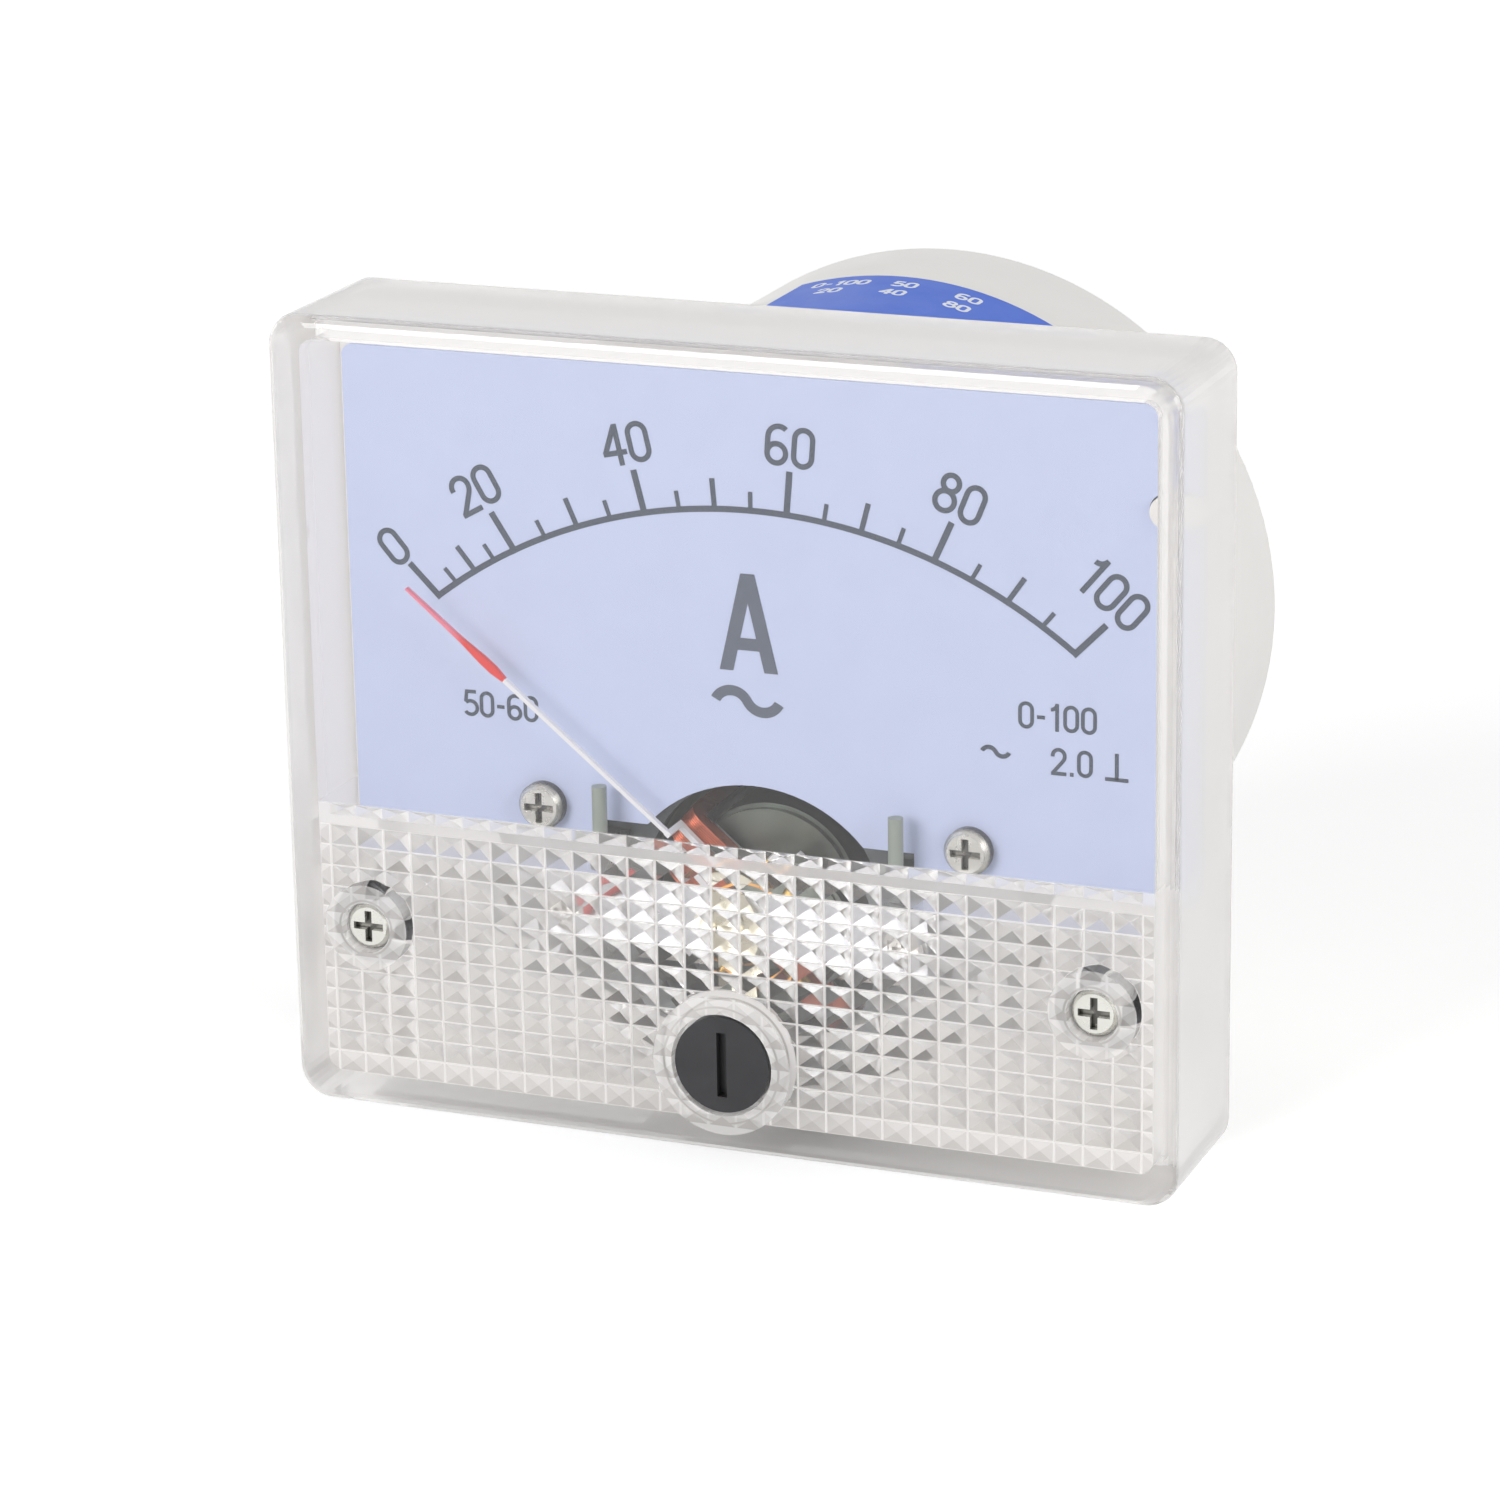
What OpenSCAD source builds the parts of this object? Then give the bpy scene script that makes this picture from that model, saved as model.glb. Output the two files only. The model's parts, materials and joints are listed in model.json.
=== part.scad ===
// Rectangular panel meter with a round case behind the panel.
// Moving-coil movement with a ring yoke, rectifier and small current transformer.
// Millimetres, +Z up, the dial faces -Y. The origin is on the case's axis in the panel's front face.

/* [Cover] */
// Width of the clear cover
cover_w = 64; // [62:0.5:70]
// Height of the clear cover
cover_h = 56; // [54:0.5:62]
// Depth of the cover in front of the panel
cover_depth = 12.2; // [12:0.1:14]
// Thickness of the window
window_t = 2; // [1.6:0.1:2.2]
// Thickness of the skirt
skirt_t = 1.9; // [1.4:0.1:2]
// Radius of the upright corners
cover_corner_r = 2.2; // [1:0.1:3]
// Radius of the front edge
cover_edge_r = 0.8; // [0.2:0.1:1]

/* [Prism field] */
// Top of the prism field
prism_top_z = -6.5; // [-7:0.1:-6]
// Width of one prism
prism_pitch_x = 2.02; // [1.6:0.01:3]
// Height of one prism
prism_pitch_z = 1.51; // [1.2:0.01:3]
// Height of the small prisms in the first row
prism_first_row = 0.8; // [0.6:0.1:1.4]
// Smooth strip between the first row and the others
prism_strip = 0.7; // [0.4:0.1:1.2]
// How far a prism stands in from the window
prism_depth = 0.6; // [0.3:0.05:0.7]
// Smooth margin between the prism field and the skirt
prism_margin = 0.15; // [0.1:0.05:1]

/* [Case] */
// Outer radius of the round case
case_r = 25; // [24.5:0.1:25.5]
// Wall of the round case
case_wall = 2; // [1.5:0.1:2.2]
// Length of the round case behind the panel
case_depth = 34.4; // [34:0.2:40]
// Thickness of the rear wall
rear_wall_t = 2; // [1.5:0.1:3]
// Radius of the rear edge
case_edge_r = 0.8; // [0.3:0.1:1.2]
// Thickness of the flange that closes the cover
flange_t = 1.8; // [1.4:0.1:2]
// Width of the rim that carries the dial
rim_t = 1.4; // [1.2:0.1:1.8]
// Gap between the flange and the skirt
flange_gap = 0.1; // [0.05:0.05:0.3]

/* [Label] */
// Thickness of the label
label_t = 0.1; // [0.05:0.05:0.2]
// Half of the angle that the label covers
label_half_angle = 36; // [20:1:60]
// How far the label's middle is turned from the top, to the right
label_turn = 19; // [-40:1:40]
// Front edge of the label, behind the panel
label_front_y = 5; // [3:0.5:12]
// Rear edge of the label, behind the panel
label_rear_y = 23.6; // [20:0.2:30]

/* [Dial] */
// Gap between the dial plate's sides and the flange's edge
dial_side_gap = 0.3; // [0.1:0.05:0.7]
// Bottom edge of the dial plate
dial_bottom_z = -9.3; // [-9.4:0.1:-9]
// Thickness of the dial plate
dial_t = 0.5; // [0.3:0.05:0.6]
// Depth from the cover's front to the dial's face
dial_face_depth = 7.5; // [7.4:0.05:7.6]
// Radius of the opening over the movement
opening_r = 10.46; // [10.3:0.02:10.8]
// Centre of the opening
opening_z = -14.4; // [-14.5:0.05:-14.2]
// Lower shoulders of the opening
shoulder_z = -7.5; // [-7.6:0.05:-7.4]
// Half width of the opening under the shoulders
shoulder_x = 11.5; // [11.4:0.05:11.8]
// Distance of the dial screws from the middle
dial_screw_x = 15.5; // [15.3:0.1:16.2]
// Height of the dial screws
dial_screw_z = -6.8; // [-7:0.05:-6.6]

/* [Movement] */
// Height of the pivot axis
pivot_z = -12.4; // [-12.5:0.05:-12.3]
// Radius of the magnet core
core_r = 6.2; // [5.8:0.1:6.3]
// Length of the magnet core and the yoke
core_l = 12; // [10:0.5:13]
// Inner radius of the yoke ring
yoke_in_r = 8.6; // [8.5:0.05:8.8]
// Outer radius of the yoke ring
yoke_out_r = 10.2; // [10.1:0.05:10.4]
// Width of the coil, across its plane
coil_w = 2.6; // [2:0.1:2.8]
// Gap between the core and the coil's frame
coil_gap = 0.35; // [0.3:0.05:0.4]
// Thickness of the coil's frame
former_t = 0.25; // [0.2:0.05:0.3]
// Thickness of the winding
winding_t = 1.1; // [0.8:0.05:1.2]
// Angle of the pointer at zero, left of upright
pointer_rest = 49.8; // [49.5:0.1:50]
// Distance from the pivot to the pointer's tip
pointer_tip_r = 32.07; // [30:0.1:33]
// Distance from the pivot to the pointer's crank
crank_r = 7.5; // [7.2:0.05:7.6]
// How far the crank leads the tip
crank_lead = 2.6; // [1:0.1:3]
// Distance from the middle to each pointer stop
stop_x = 10.75; // [10.7:0.05:11]
// Top of each stop sleeve
stop_top_z = -4.6; // [-5:0.1:-4.5]

/* [Zero adjuster] */
// Distance from the cover's lower edge to the adjuster's axis
adjuster_rise = 6.3; // [6.2:0.05:6.4]
// Radius of the adjuster's head
adjuster_r = 3.4; // [3:0.1:3.6]
// Distance from the adjuster's axis to its pin
pin_offset = 1; // [0.8:0.05:1.1]
// Radius of the pin
pin_r = 0.6; // [0.4:0.05:0.7]

/* [Fasteners] */
// Distance from the cover's side to the mounting studs
stud_inset = 5.75; // [5.5:0.05:6]
// Height of the mounting studs
stud_z = -14.9; // [-16:0.05:-14]
// Radius of the mounting studs
stud_r = 1.5; // [1.25:0.05:2]
// Length of the mounting studs behind the panel's front face
stud_l = 12; // [8:0.5:16]
// Radius of the cover screws' heads
cover_screw_head_r = 1.7; // [1.6:0.05:1.8]
// Distance of the terminals from the middle
terminal_x = 12; // [11:0.1:12.5]
// Radius of the terminals
terminal_r = 2; // [1.5:0.1:2.2]
// Length of the terminals behind the case
terminal_l = 10; // [9.6:0.2:14]

/* [Hidden] */
$fn = 64;
eps = 0.01;
// Radial clearance of a screw in its hole
screw_gap = 0.03;
// Radial clearance of a part that turns
running_gap = 0.05;

// Depths, from the front to the back
front_y = -cover_depth;
window_y = front_y + window_t;
dial_y = front_y + dial_face_depth;
dial_back_y = dial_y + dial_t;
frame_t = 1.6;
yoke_y = -flange_t;
frame_y = yoke_y - frame_t;
yoke_end_y = yoke_y + core_l;
strap_t = 0.45;
former_y = yoke_y - strap_t - coil_gap;
former_end_y = yoke_end_y + strap_t + coil_gap;
winding_y = former_y - former_t - winding_t;
winding_end_y = former_end_y + former_t + winding_t;
hub_foot_t = 0.4;
hub_y = winding_y - hub_foot_t;
hub_t = 0.85;
collet_t = 0.6;
hairspring_w = 0.45;
hairspring_y = hub_y - hub_t - 0.55;
lever_t = 0.55;
lever_y = hairspring_y - 0.4 - lever_t;
bridge_t = 1.2;
bridge_y = lever_y - 0.1 - bridge_t;
jewel_screw_r = 1.2;
jewel_r = 0.85;
jewel_t = 0.8;
spindle_r = 0.4;
spindle_end_y = lever_y + 0.35;
leg_t = 0.5;
leg_y = hub_y - leg_t;
shaft_t = 0.4;
shaft_half_w = 0.14;
arm_half_w = 0.2;
lance_half_w = 0.28;
lance_l = 3.9;
lance_tip_l = 5.3;
tip_half_w = 0.07;
shaft_y = leg_y - 2;
stop_pin_y = shaft_y + 0.65;
stop_tab_t = 0.6;
stop_pin_r = 0.3;
stop_pin_short = 0.2;
stop_foot_half_w = 1;
stop_arm_half_w = 0.5;
stop_foot_z = pivot_z + 2.4;
stop_arm_z = pivot_z + 3.4;
stop_arm_top_z = pivot_z + 4;
sleeve_r = 0.52;
sleeve_gap = 0.05;

// Cover
skirt_in_w = cover_w - 2 * skirt_t;
skirt_in_h = cover_h - 2 * skirt_t;
skirt_in_corner_r = 1;
stud_x = cover_w / 2 - stud_inset;
adjuster_z = adjuster_rise - cover_h / 2;
screw_boss_r = 3;
screw_bore_r = 1.1;
head_gap = 0.1;
counterbore_r = cover_screw_head_r + head_gap;
counterbore_depth = 1.5;
cover_screw_head_t = 1.1;
cover_screw_r = 1;
cover_screw_short = 0.5;
adjuster_ring = 0.25;
adjuster_recess_r = adjuster_r + adjuster_ring;
adjuster_recess_depth = 1.3;
adjuster_boss_r = 4.9;
adjuster_neck_r = 2.1;
adjuster_boss_end_y = window_y + 1;
clip_t = 0.5;
clip_r = adjuster_boss_r - 1.6;
clip_mouth = 1.8;
clip_gap = 0.02;
groove_y = adjuster_boss_end_y + running_gap;
groove_depth = 0.4;
adjuster_end_gap = 0.1;
adjuster_foot_t = 0.5;
slot_w = 0.7;
slot_l = 4.6;
slot_depth = 0.7;
pin_over = 0.2;
collar_y = -3;

// Case
case_in_r = case_r - case_wall;
rear_inside_y = case_depth - rear_wall_t;
flange_w = skirt_in_w - 2 * flange_gap;
flange_h = skirt_in_h - 2 * flange_gap;
flange_corner_r = 0.9;
pocket_corner_r = 0.6;
rim_top_extra = 1.6;
dial_w = flange_w - 2 * dial_side_gap;
dial_top_z = flange_h / 2 - rim_t;
dial_corner_r = 0.8;
frame_screw_x = 16;
frame_screw_z = -14;
frame_boss_r = 2.6;
frame_boss_l = 8;
frame_screw_r = 1.25;
dial_screw_r = 0.95;
dial_screw_head_r = 1.65;
bridge_screw_r = 0.8;
yoke_screw_r = 0.6;
yoke_head_r = 1.3;
yoke_head_t = 0.8;
rear_screw_r = 0.55;
stud_collar_r = 3;
stud_boss_wall = 0.6;
tip_l = 0.5;
tip_chamfer = 0.4;
terminal_pad_r = 5.2;
terminal_pad_t = 0.6;
lug_z = dial_top_z - 7;
lug_inset = 1;
lug_proud = 0.3;
lug_r = 1.1;
lug_gap = 0.1;
dial_hole_gap = 0.15;
dial_screw_head_t = 1.1;
thread_short = 0.1;

// Movement
yoke_mid_r = (yoke_in_r + yoke_out_r) / 2;
coil_in = core_r + coil_gap;
coil_out = coil_in + former_t + winding_t;
bridge_half_w = 2.2;
bridge_half_l = 13.7;
bridge_foot_l = 2.8;
bridge_screw_x = bridge_half_l - bridge_foot_l / 2;
strap_half_w = 2.4;
strap_gap = 0.1;
frame_rim = 0.3;
plate_z = pivot_z + 1.7;
plate_w = 37;
plate_h = 12.6;
plate_corner_r = 1.5;
post_r = 2.2;
frame_head_r = 2;
frame_head_t = 0.75;
frame_screw_short = 2;
bridge_head_r = 1.3;
bridge_head_t = 0.9;
jewel_screw_proud = 1.2;
jewel_lap = 0.05;
jewel_slot_w = 0.5;
jewel_slot_depth = 0.5;
jewel_cup_depth = 0.45;
lock_nut_r = 2.5;
lock_nut_t = 0.9;
lever_end_gap = 0.1;
core_nose_l = 0.5;
core_nose = 0.3;
yoke_screw_l = 4.5;
rear_hole_l = 4;
rear_screw_l = 3.5;
rear_head_r = 1;
rear_head_t = 0.7;
rear_foot_half_w = 1.6;
hairspring_in_r = 1.1;
hairspring_out_r = 4.6;
hairspring_t = 0.16;
hairspring_pin_r = 0.3;
lever_ring_r = 3;
lever_boss_r = 2.3;
lever_arm_w = 1.8;
lever_pad_w = 1.6;
lever_pad_lap = 1;
fork_gap = 0.1;
fork_wall = 0.8;
fork_reach = 1.2;
fork_l = 3;
rear_bridge_y = winding_end_y + 2.7;
jewel_end_y = lever_y + lever_t + jewel_lap;
rear_jewel_end = 0.35;

// Electrical parts
board_t = 1.6;
bobbin_gap = 0.1;
lug_t = 0.5;
board_y = rear_inside_y - lug_t - board_t;
board_w = 34;
board_h = 32;
board_corner_r = 3;
board_hole_gap = 0.15;
solder_gap = 0.05;
head_t = 2.8;
head_r = 4.04;
diode_x = 6.5;
diode_z = -7.5;
diode_step = 3.3;
diode_l = 4.4;
diode_lead_l = 8;
resistor_z = diode_z - 2 * diode_step;
resistor_l = 6.5;
resistor_lead_l = 10;
axial_r = 1.2;
axial_lift = 0.2;
lead_r = 0.3;
core_t = 6;
core_w = 15;
core_h = 13;
core_mid_z = 4.5;
core_y = board_y - core_t - 3.1;
limb_w = 4;
window_w = 3.4;
window_h = 9;
bobbin_z = core_mid_z - window_h / 2 + bobbin_gap;
bobbin_end_z = core_mid_z + window_h / 2 - bobbin_gap;
bobbin_wall = 0.6;
cheek_t = 0.7;
cheek_out = 3.1;
cheek_foot_half_w = 4.8;
winding_gap = 0.05;
secondary_in = bobbin_wall + 0.02;
secondary_out = 1.7;
primary_in = secondary_out + 0.02;
primary_base = 0.38;
primary_out = 2.8;
primary_turns = 5;
primary_turn_gap = 0.2;
primary_lead_r = 0.5;
movement_lead_r = 0.35;
tag_r = 3.6;
tag_w = 2.4;
tag_l = 8;
washer_r = 4.4;
washer_t = 0.55;
nut_t = 2.6;
nut_gap = 0.05;

// Everything below turns a drawing in X and Z, or a radius, into a solid along Y.
module slab(y, t) {
    translate([0, y + t, 0]) rotate([90, 0, 0]) linear_extrude(t) children();
}
module rod(y, end_y, r) {
    translate([0, y, 0]) rotate([-90, 0, 0]) cylinder(h = end_y - y, r = r);
}
module cone(y, end_y, r, end_r) {
    translate([0, y, 0]) rotate([-90, 0, 0]) cylinder(h = end_y - y, r1 = r, r2 = end_r);
}
module hexagon(y, end_y, r) {
    translate([0, y, 0]) rotate([-90, 0, 0]) cylinder(h = end_y - y, r = r, $fn = 6);
}
module at(x, z) {
    translate([x, 0, z]) children();
}
module both_sides(x, z) {
    for (side = [-1, 1]) at(side * x, z) children();
}
module at_pivot(angle = 0) {
    translate([0, 0, pivot_z]) rotate([0, angle, 0]) children();
}
module rounded(w, h, r) {
    square([w - 2 * r, h], center = true);
    square([w, h - 2 * r], center = true);
    for (x = [-1, 1], y = [-1, 1]) translate([x * (w / 2 - r), y * (h / 2 - r)]) circle(r);
}
module block(x, y, z) {
    translate([x[0], y[0], z[0]]) cube([x[1] - x[0], y[1] - y[0], z[1] - z[0]]);
}
// A pan head in front of y, with a cross recess, and its shank behind.
module pan_screw(y, head_r, head_t, r, end_y) {
    recess_w = head_r * 0.3;
    difference() {
        union() {
            cone(y - head_t, y - head_t * 0.6, head_r * 0.8, head_r);
            rod(y - head_t * 0.6, y, head_r);
            rod(y - eps, end_y, r);
        }
        for (turn = [0, 90]) translate([0, y - head_t, 0]) rotate([0, turn, 0])
            cube([head_r * 1.3, head_t, recess_w], center = true);
    }
}

// Cover: window, skirt, screw bosses, adjuster boss and the prism field inside the window.
module cover_outline(inset) {
    rounded(cover_w - 2 * inset, cover_h - 2 * inset, cover_corner_r, $fn = 32);
}
module cover_blank() {
    steps = 4;
    hull() {
        for (i = [0:steps]) {
            a = 90 * i / steps;
            slab(front_y + cover_edge_r * (1 - sin(a)), eps) cover_outline(cover_edge_r * (1 - cos(a)));
        }
        slab(-eps, eps) cover_outline(0);
    }
}
// Rows of teeth side by side, all as wide as the pitch says.
function teeth(pitch, count) = [for (i = [0:2 * count]) [i * pitch / 2, i % 2 * prism_depth]];
module tooth_profile(pitch, count) {
    root = window_t / 4;
    polygon(concat([[0, -root]], teeth(pitch, count), [[count * pitch, -root]]));
}
module prism_band(top_z, pitch_z, rows) {
    columns = floor((skirt_in_w - 2 * prism_margin) / prism_pitch_x);
    half_w = columns * prism_pitch_x / 2;
    height = rows * pitch_z;
    intersection() {
        translate([-half_w, window_y, top_z - height]) linear_extrude(height)
            tooth_profile(prism_pitch_x, columns);
        translate([-half_w, window_y, top_z]) rotate([0, 90, 0]) linear_extrude(2 * half_w)
            tooth_profile(pitch_z, rows);
    }
}
// One row of small prisms, a smooth strip, and the rows below it down to the skirt.
module prism_field() {
    rows_top_z = prism_top_z - prism_first_row - prism_strip;
    rows_h = skirt_in_h / 2 + rows_top_z - prism_margin;
    prism_band(prism_top_z, prism_first_row, 1);
    prism_band(rows_top_z, prism_pitch_z, floor(rows_h / prism_pitch_z));
}
module cover() {
    color([0.93, 0.92, 0.93, 0.35]) difference() {
        union() {
            difference() {
                cover_blank();
                slab(window_y, cover_depth) rounded(skirt_in_w, skirt_in_h, skirt_in_corner_r);
            }
            prism_field();
            both_sides(stud_x, stud_z) rod(window_y - eps, collar_y, screw_boss_r);
            at(0, adjuster_z) rod(window_y - eps, adjuster_boss_end_y, adjuster_boss_r);
        }
        both_sides(stud_x, stud_z) {
            rod(front_y - 1, front_y + counterbore_depth, counterbore_r);
            rod(front_y, 0, screw_bore_r);
        }
        at(0, adjuster_z) {
            rod(front_y - 1, front_y + adjuster_recess_depth, adjuster_recess_r);
            rod(front_y, 0, adjuster_neck_r + running_gap);
        }
    }
}

// Base: flange with the dial's rim, round case, movement bosses and terminal pads, in one moulding.
module case_shell() {
    difference() {
        rotate([-90, 0, 0]) rotate_extrude() {
            square([case_r, case_depth - case_edge_r]);
            square([case_r - case_edge_r, case_depth]);
            translate([case_r - case_edge_r, case_depth - case_edge_r]) circle(case_edge_r);
        }
        rod(-1, rear_inside_y, case_in_r);
    }
}
module base() {
    rim_h = dial_back_y;
    color([0.92, 0.92, 0.9]) difference() {
        union() {
            case_shell();
            difference() {
                slab(rim_h, -rim_h) rounded(flange_w, flange_h, flange_corner_r);
                slab(rim_h - 1, 1 - rim_h - flange_t)
                    translate([0, -rim_top_extra / 2])
                        rounded(flange_w - 2 * rim_t, flange_h - 2 * rim_t - rim_top_extra, pocket_corner_r);
                rod(-flange_t - 1, 1, case_in_r);
            }
            both_sides(frame_screw_x, frame_screw_z) rod(-flange_t, frame_boss_l, frame_boss_r);
            both_sides(stud_x, stud_z) rod(collar_y, -flange_t + eps, stud_collar_r + stud_boss_wall);
            at(flange_w / 2 - lug_inset, lug_z) rod(dial_y - lug_proud, -flange_t, lug_r);
            both_sides(terminal_x, 0)
                rod(case_depth - eps, case_depth + terminal_pad_t, terminal_pad_r);
        }
        both_sides(stud_x, stud_z) rod(rim_h - 1, 1, stud_collar_r + screw_gap);
        both_sides(frame_screw_x, frame_screw_z)
            rod(-flange_t - 1, frame_boss_l - 1, frame_screw_r + screw_gap);
        both_sides(terminal_x, 0) rod(rear_inside_y - 1, case_depth + 2, terminal_r + screw_gap);
    }
}
module label() {
    color([0.29, 0.44, 0.82]) rotate([-90, 0, 0]) rotate([0, 0, label_turn - 90 - label_half_angle])
        rotate_extrude(angle = 2 * label_half_angle)
            translate([case_r, label_front_y]) square([label_t, label_rear_y - label_front_y]);
}

// Dial plate, with its opening over the movement.
module dial() {
    height = dial_top_z - dial_bottom_z;
    color([0.8, 0.84, 0.93]) slab(dial_y, dial_t) difference() {
        translate([0, dial_bottom_z + height / 2]) rounded(dial_w, height, dial_corner_r);
        translate([0, opening_z]) circle(opening_r, $fn = 96);
        translate([-shoulder_x, dial_bottom_z - 1]) square([2 * shoulder_x, shoulder_z - dial_bottom_z + 1]);
        for (side = [-1, 1]) translate([side * dial_screw_x, dial_screw_z])
            circle(dial_screw_r + dial_hole_gap);
        translate([flange_w / 2 - lug_inset, lug_z]) circle(lug_r + lug_gap);
    }
}
module dial_screws() {
    color("silver") both_sides(dial_screw_x, dial_screw_z) 
        pan_screw(dial_y, dial_screw_head_r, dial_screw_head_t, dial_screw_r, yoke_y - thread_short);
}
module cover_screws() {
    seat_y = front_y + counterbore_depth;
    color("silver") both_sides(stud_x, stud_z)
        pan_screw(seat_y, cover_screw_head_r, cover_screw_head_t, cover_screw_r, -cover_screw_short);
}
module mounting_studs() {
    color([0.75, 0.75, 0.72]) both_sides(stud_x, stud_z) difference() {
        union() {
            rod(collar_y, 0, stud_collar_r);
            rod(-eps, stud_l - tip_l, stud_r);
            cone(stud_l - tip_l, stud_l, stud_r, stud_r - tip_chamfer);
        }
        rod(collar_y - 1, cover_screw_short, cover_screw_r + screw_gap);
    }
}

// Zero adjuster: slotted head, neck with a clip groove, and an offset pin.
module zero_adjuster() {
    head_y = front_y + adjuster_end_gap;
    head_end_y = front_y + adjuster_recess_depth - adjuster_end_gap;
    foot_y = groove_y + clip_t;
    color([0.2, 0.2, 0.2]) at(0, adjuster_z) difference() {
        union() {
            rod(head_y, head_end_y, adjuster_r);
            rod(head_end_y - eps, groove_y, adjuster_neck_r);
            rod(groove_y - eps, foot_y + eps, adjuster_neck_r - groove_depth);
            rod(foot_y, foot_y + adjuster_foot_t, adjuster_neck_r);
            at(0, pin_offset) rod(foot_y, lever_y + lever_t + pin_over, pin_r);
        }
        block([-slot_w / 2, slot_w / 2], [head_y - 1, head_y + slot_depth], [-slot_l / 2, slot_l / 2]);
    }
}
module adjuster_clip() {
    color("silver") at(0, adjuster_z) slab(groove_y + clip_gap, clip_t - 2 * clip_gap) difference() {
        circle(clip_r);
        circle(adjuster_neck_r - groove_depth + clip_gap);
        translate([-clip_mouth / 2, -clip_r - 1]) square([clip_mouth, clip_r + 1]);
    }
}

// Zero lever: a ring on the front bridge's boss, with a fork around the adjuster's pin.
module zero_lever() {
    pin_drop = pivot_z - adjuster_z - pin_offset;
    fork_in_w = 2 * (pin_r + fork_gap);
    fork_w = fork_in_w + 2 * fork_wall;
    pad_l = hairspring_out_r - lever_ring_r + lever_pad_lap + hairspring_pin_r + fork_gap;
    color([0.78, 0.66, 0.35]) at_pivot() {
        slab(lever_y, lever_t) difference() {
            union() {
                circle(lever_ring_r);
                translate([-lever_arm_w / 2, fork_reach - pin_drop])
                    square([lever_arm_w, pin_drop - fork_reach - lever_boss_r]);
                translate([-fork_w / 2, -pin_drop - fork_reach]) square([fork_w, fork_l]);
                translate([lever_ring_r - lever_pad_lap, -lever_pad_w / 2]) square([pad_l, lever_pad_w]);
            }
            circle(lever_boss_r + running_gap);
            translate([-fork_in_w / 2, -pin_drop - fork_l + 1]) square([fork_in_w, fork_l]);
        }
        at(hairspring_out_r, 0) rod(lever_y + eps, hairspring_y + hairspring_w, hairspring_pin_r);
    }
}

// A flat spiral strip, with its outer end on the X axis.
function spiral(r, end_r, turns, steps) = [for (i = [0:steps])
    let (a = 360 * turns * i / steps, q = r + (end_r - r) * i / steps) [q * cos(a), q * sin(a)]];
function backwards(list) = [for (i = [len(list) - 1:-1:0]) list[i]];
module hairspring(y) {
    turns = 4;
    steps = 96;
    end_r = hairspring_out_r - hairspring_pin_r - hairspring_t - 0.02;
    slab(y, hairspring_w) polygon(concat(
        spiral(hairspring_in_r, end_r, turns, steps),
        backwards(spiral(hairspring_in_r + hairspring_t, end_r + hairspring_t, turns, steps))));
}
module front_hairspring() {
    color([0.8, 0.6, 0.3]) at_pivot() hairspring(hairspring_y);
}
module rear_hairspring() {
    color([0.8, 0.6, 0.3]) at_pivot() {
        hairspring(winding_end_y + 1.2);
        at(hairspring_out_r, 0) rod(winding_end_y + 1.2, rear_bridge_y, hairspring_pin_r);
    }
}

// Front bridge: a bar on two feet, with a boss that the zero lever turns on.
module front_bridge() {
    color([0.72, 0.74, 0.76]) at_pivot() difference() {
        union() {
            block([-bridge_half_l, bridge_half_l], [bridge_y, bridge_y + bridge_t],
                [-bridge_half_w, bridge_half_w]);
            for (side = [-1, 1]) at(side * bridge_screw_x, 0)
                block([-bridge_foot_l / 2, bridge_foot_l / 2], [bridge_y, frame_y],
                    [-bridge_half_w, bridge_half_w]);
            rod(bridge_y, lever_y + lever_t + lever_end_gap, lever_boss_r);
        }
        rod(bridge_y - 1, lever_y + 2, jewel_screw_r + screw_gap);
        both_sides(bridge_screw_x, 0) rod(bridge_y - 1, 0, bridge_screw_r + screw_gap);
    }
}
module bridge_screws() {
    color("silver") at_pivot() both_sides(bridge_screw_x, 0) 
        pan_screw(bridge_y, bridge_head_r, bridge_head_t, bridge_screw_r, yoke_y - thread_short);
}
module jewel_screw(y, end_y) {
    difference() {
        rod(y, end_y, jewel_screw_r);
        rod(end_y - 2 * jewel_lap - jewel_t, end_y + 1, jewel_r + screw_gap);
        block([-2, 2], [y - 1, y + jewel_slot_depth], [-jewel_slot_w / 2, jewel_slot_w / 2]);
    }
}
module jewel(y, end_y) {
    difference() {
        rod(y, end_y, jewel_r);
        rod(end_y - jewel_cup_depth, end_y + 1, spindle_r + running_gap);
    }
}
module turned_over(y) {
    translate([0, y, 0]) rotate([0, 0, 180]) children();
}
module jewel_screws() {
    color([0.8, 0.68, 0.36]) at_pivot() {
        jewel_screw(bridge_y - jewel_screw_proud, jewel_end_y);
        turned_over(rear_bridge_y) jewel_screw(-bridge_t - jewel_screw_proud, rear_jewel_end);
    }
}
module jewels() {
    color([0.8, 0.2, 0.35]) at_pivot() {
        jewel(jewel_end_y - 2 * jewel_lap - jewel_t, jewel_end_y - 2 * jewel_lap);
        turned_over(rear_bridge_y)
            jewel(rear_jewel_end - 2 * jewel_lap - jewel_t, rear_jewel_end - 2 * jewel_lap);
    }
}
module lock_nut(y, end_y) {
    difference() {
        hexagon(y, end_y, lock_nut_r);
        rod(y - 1, end_y + 1, jewel_screw_r + screw_gap);
    }
}
module lock_nuts() {
    color([0.8, 0.68, 0.36]) at_pivot() {
        lock_nut(bridge_y - lock_nut_t, bridge_y);
        lock_nut(rear_bridge_y + bridge_t, rear_bridge_y + bridge_t + lock_nut_t);
    }
}

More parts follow.
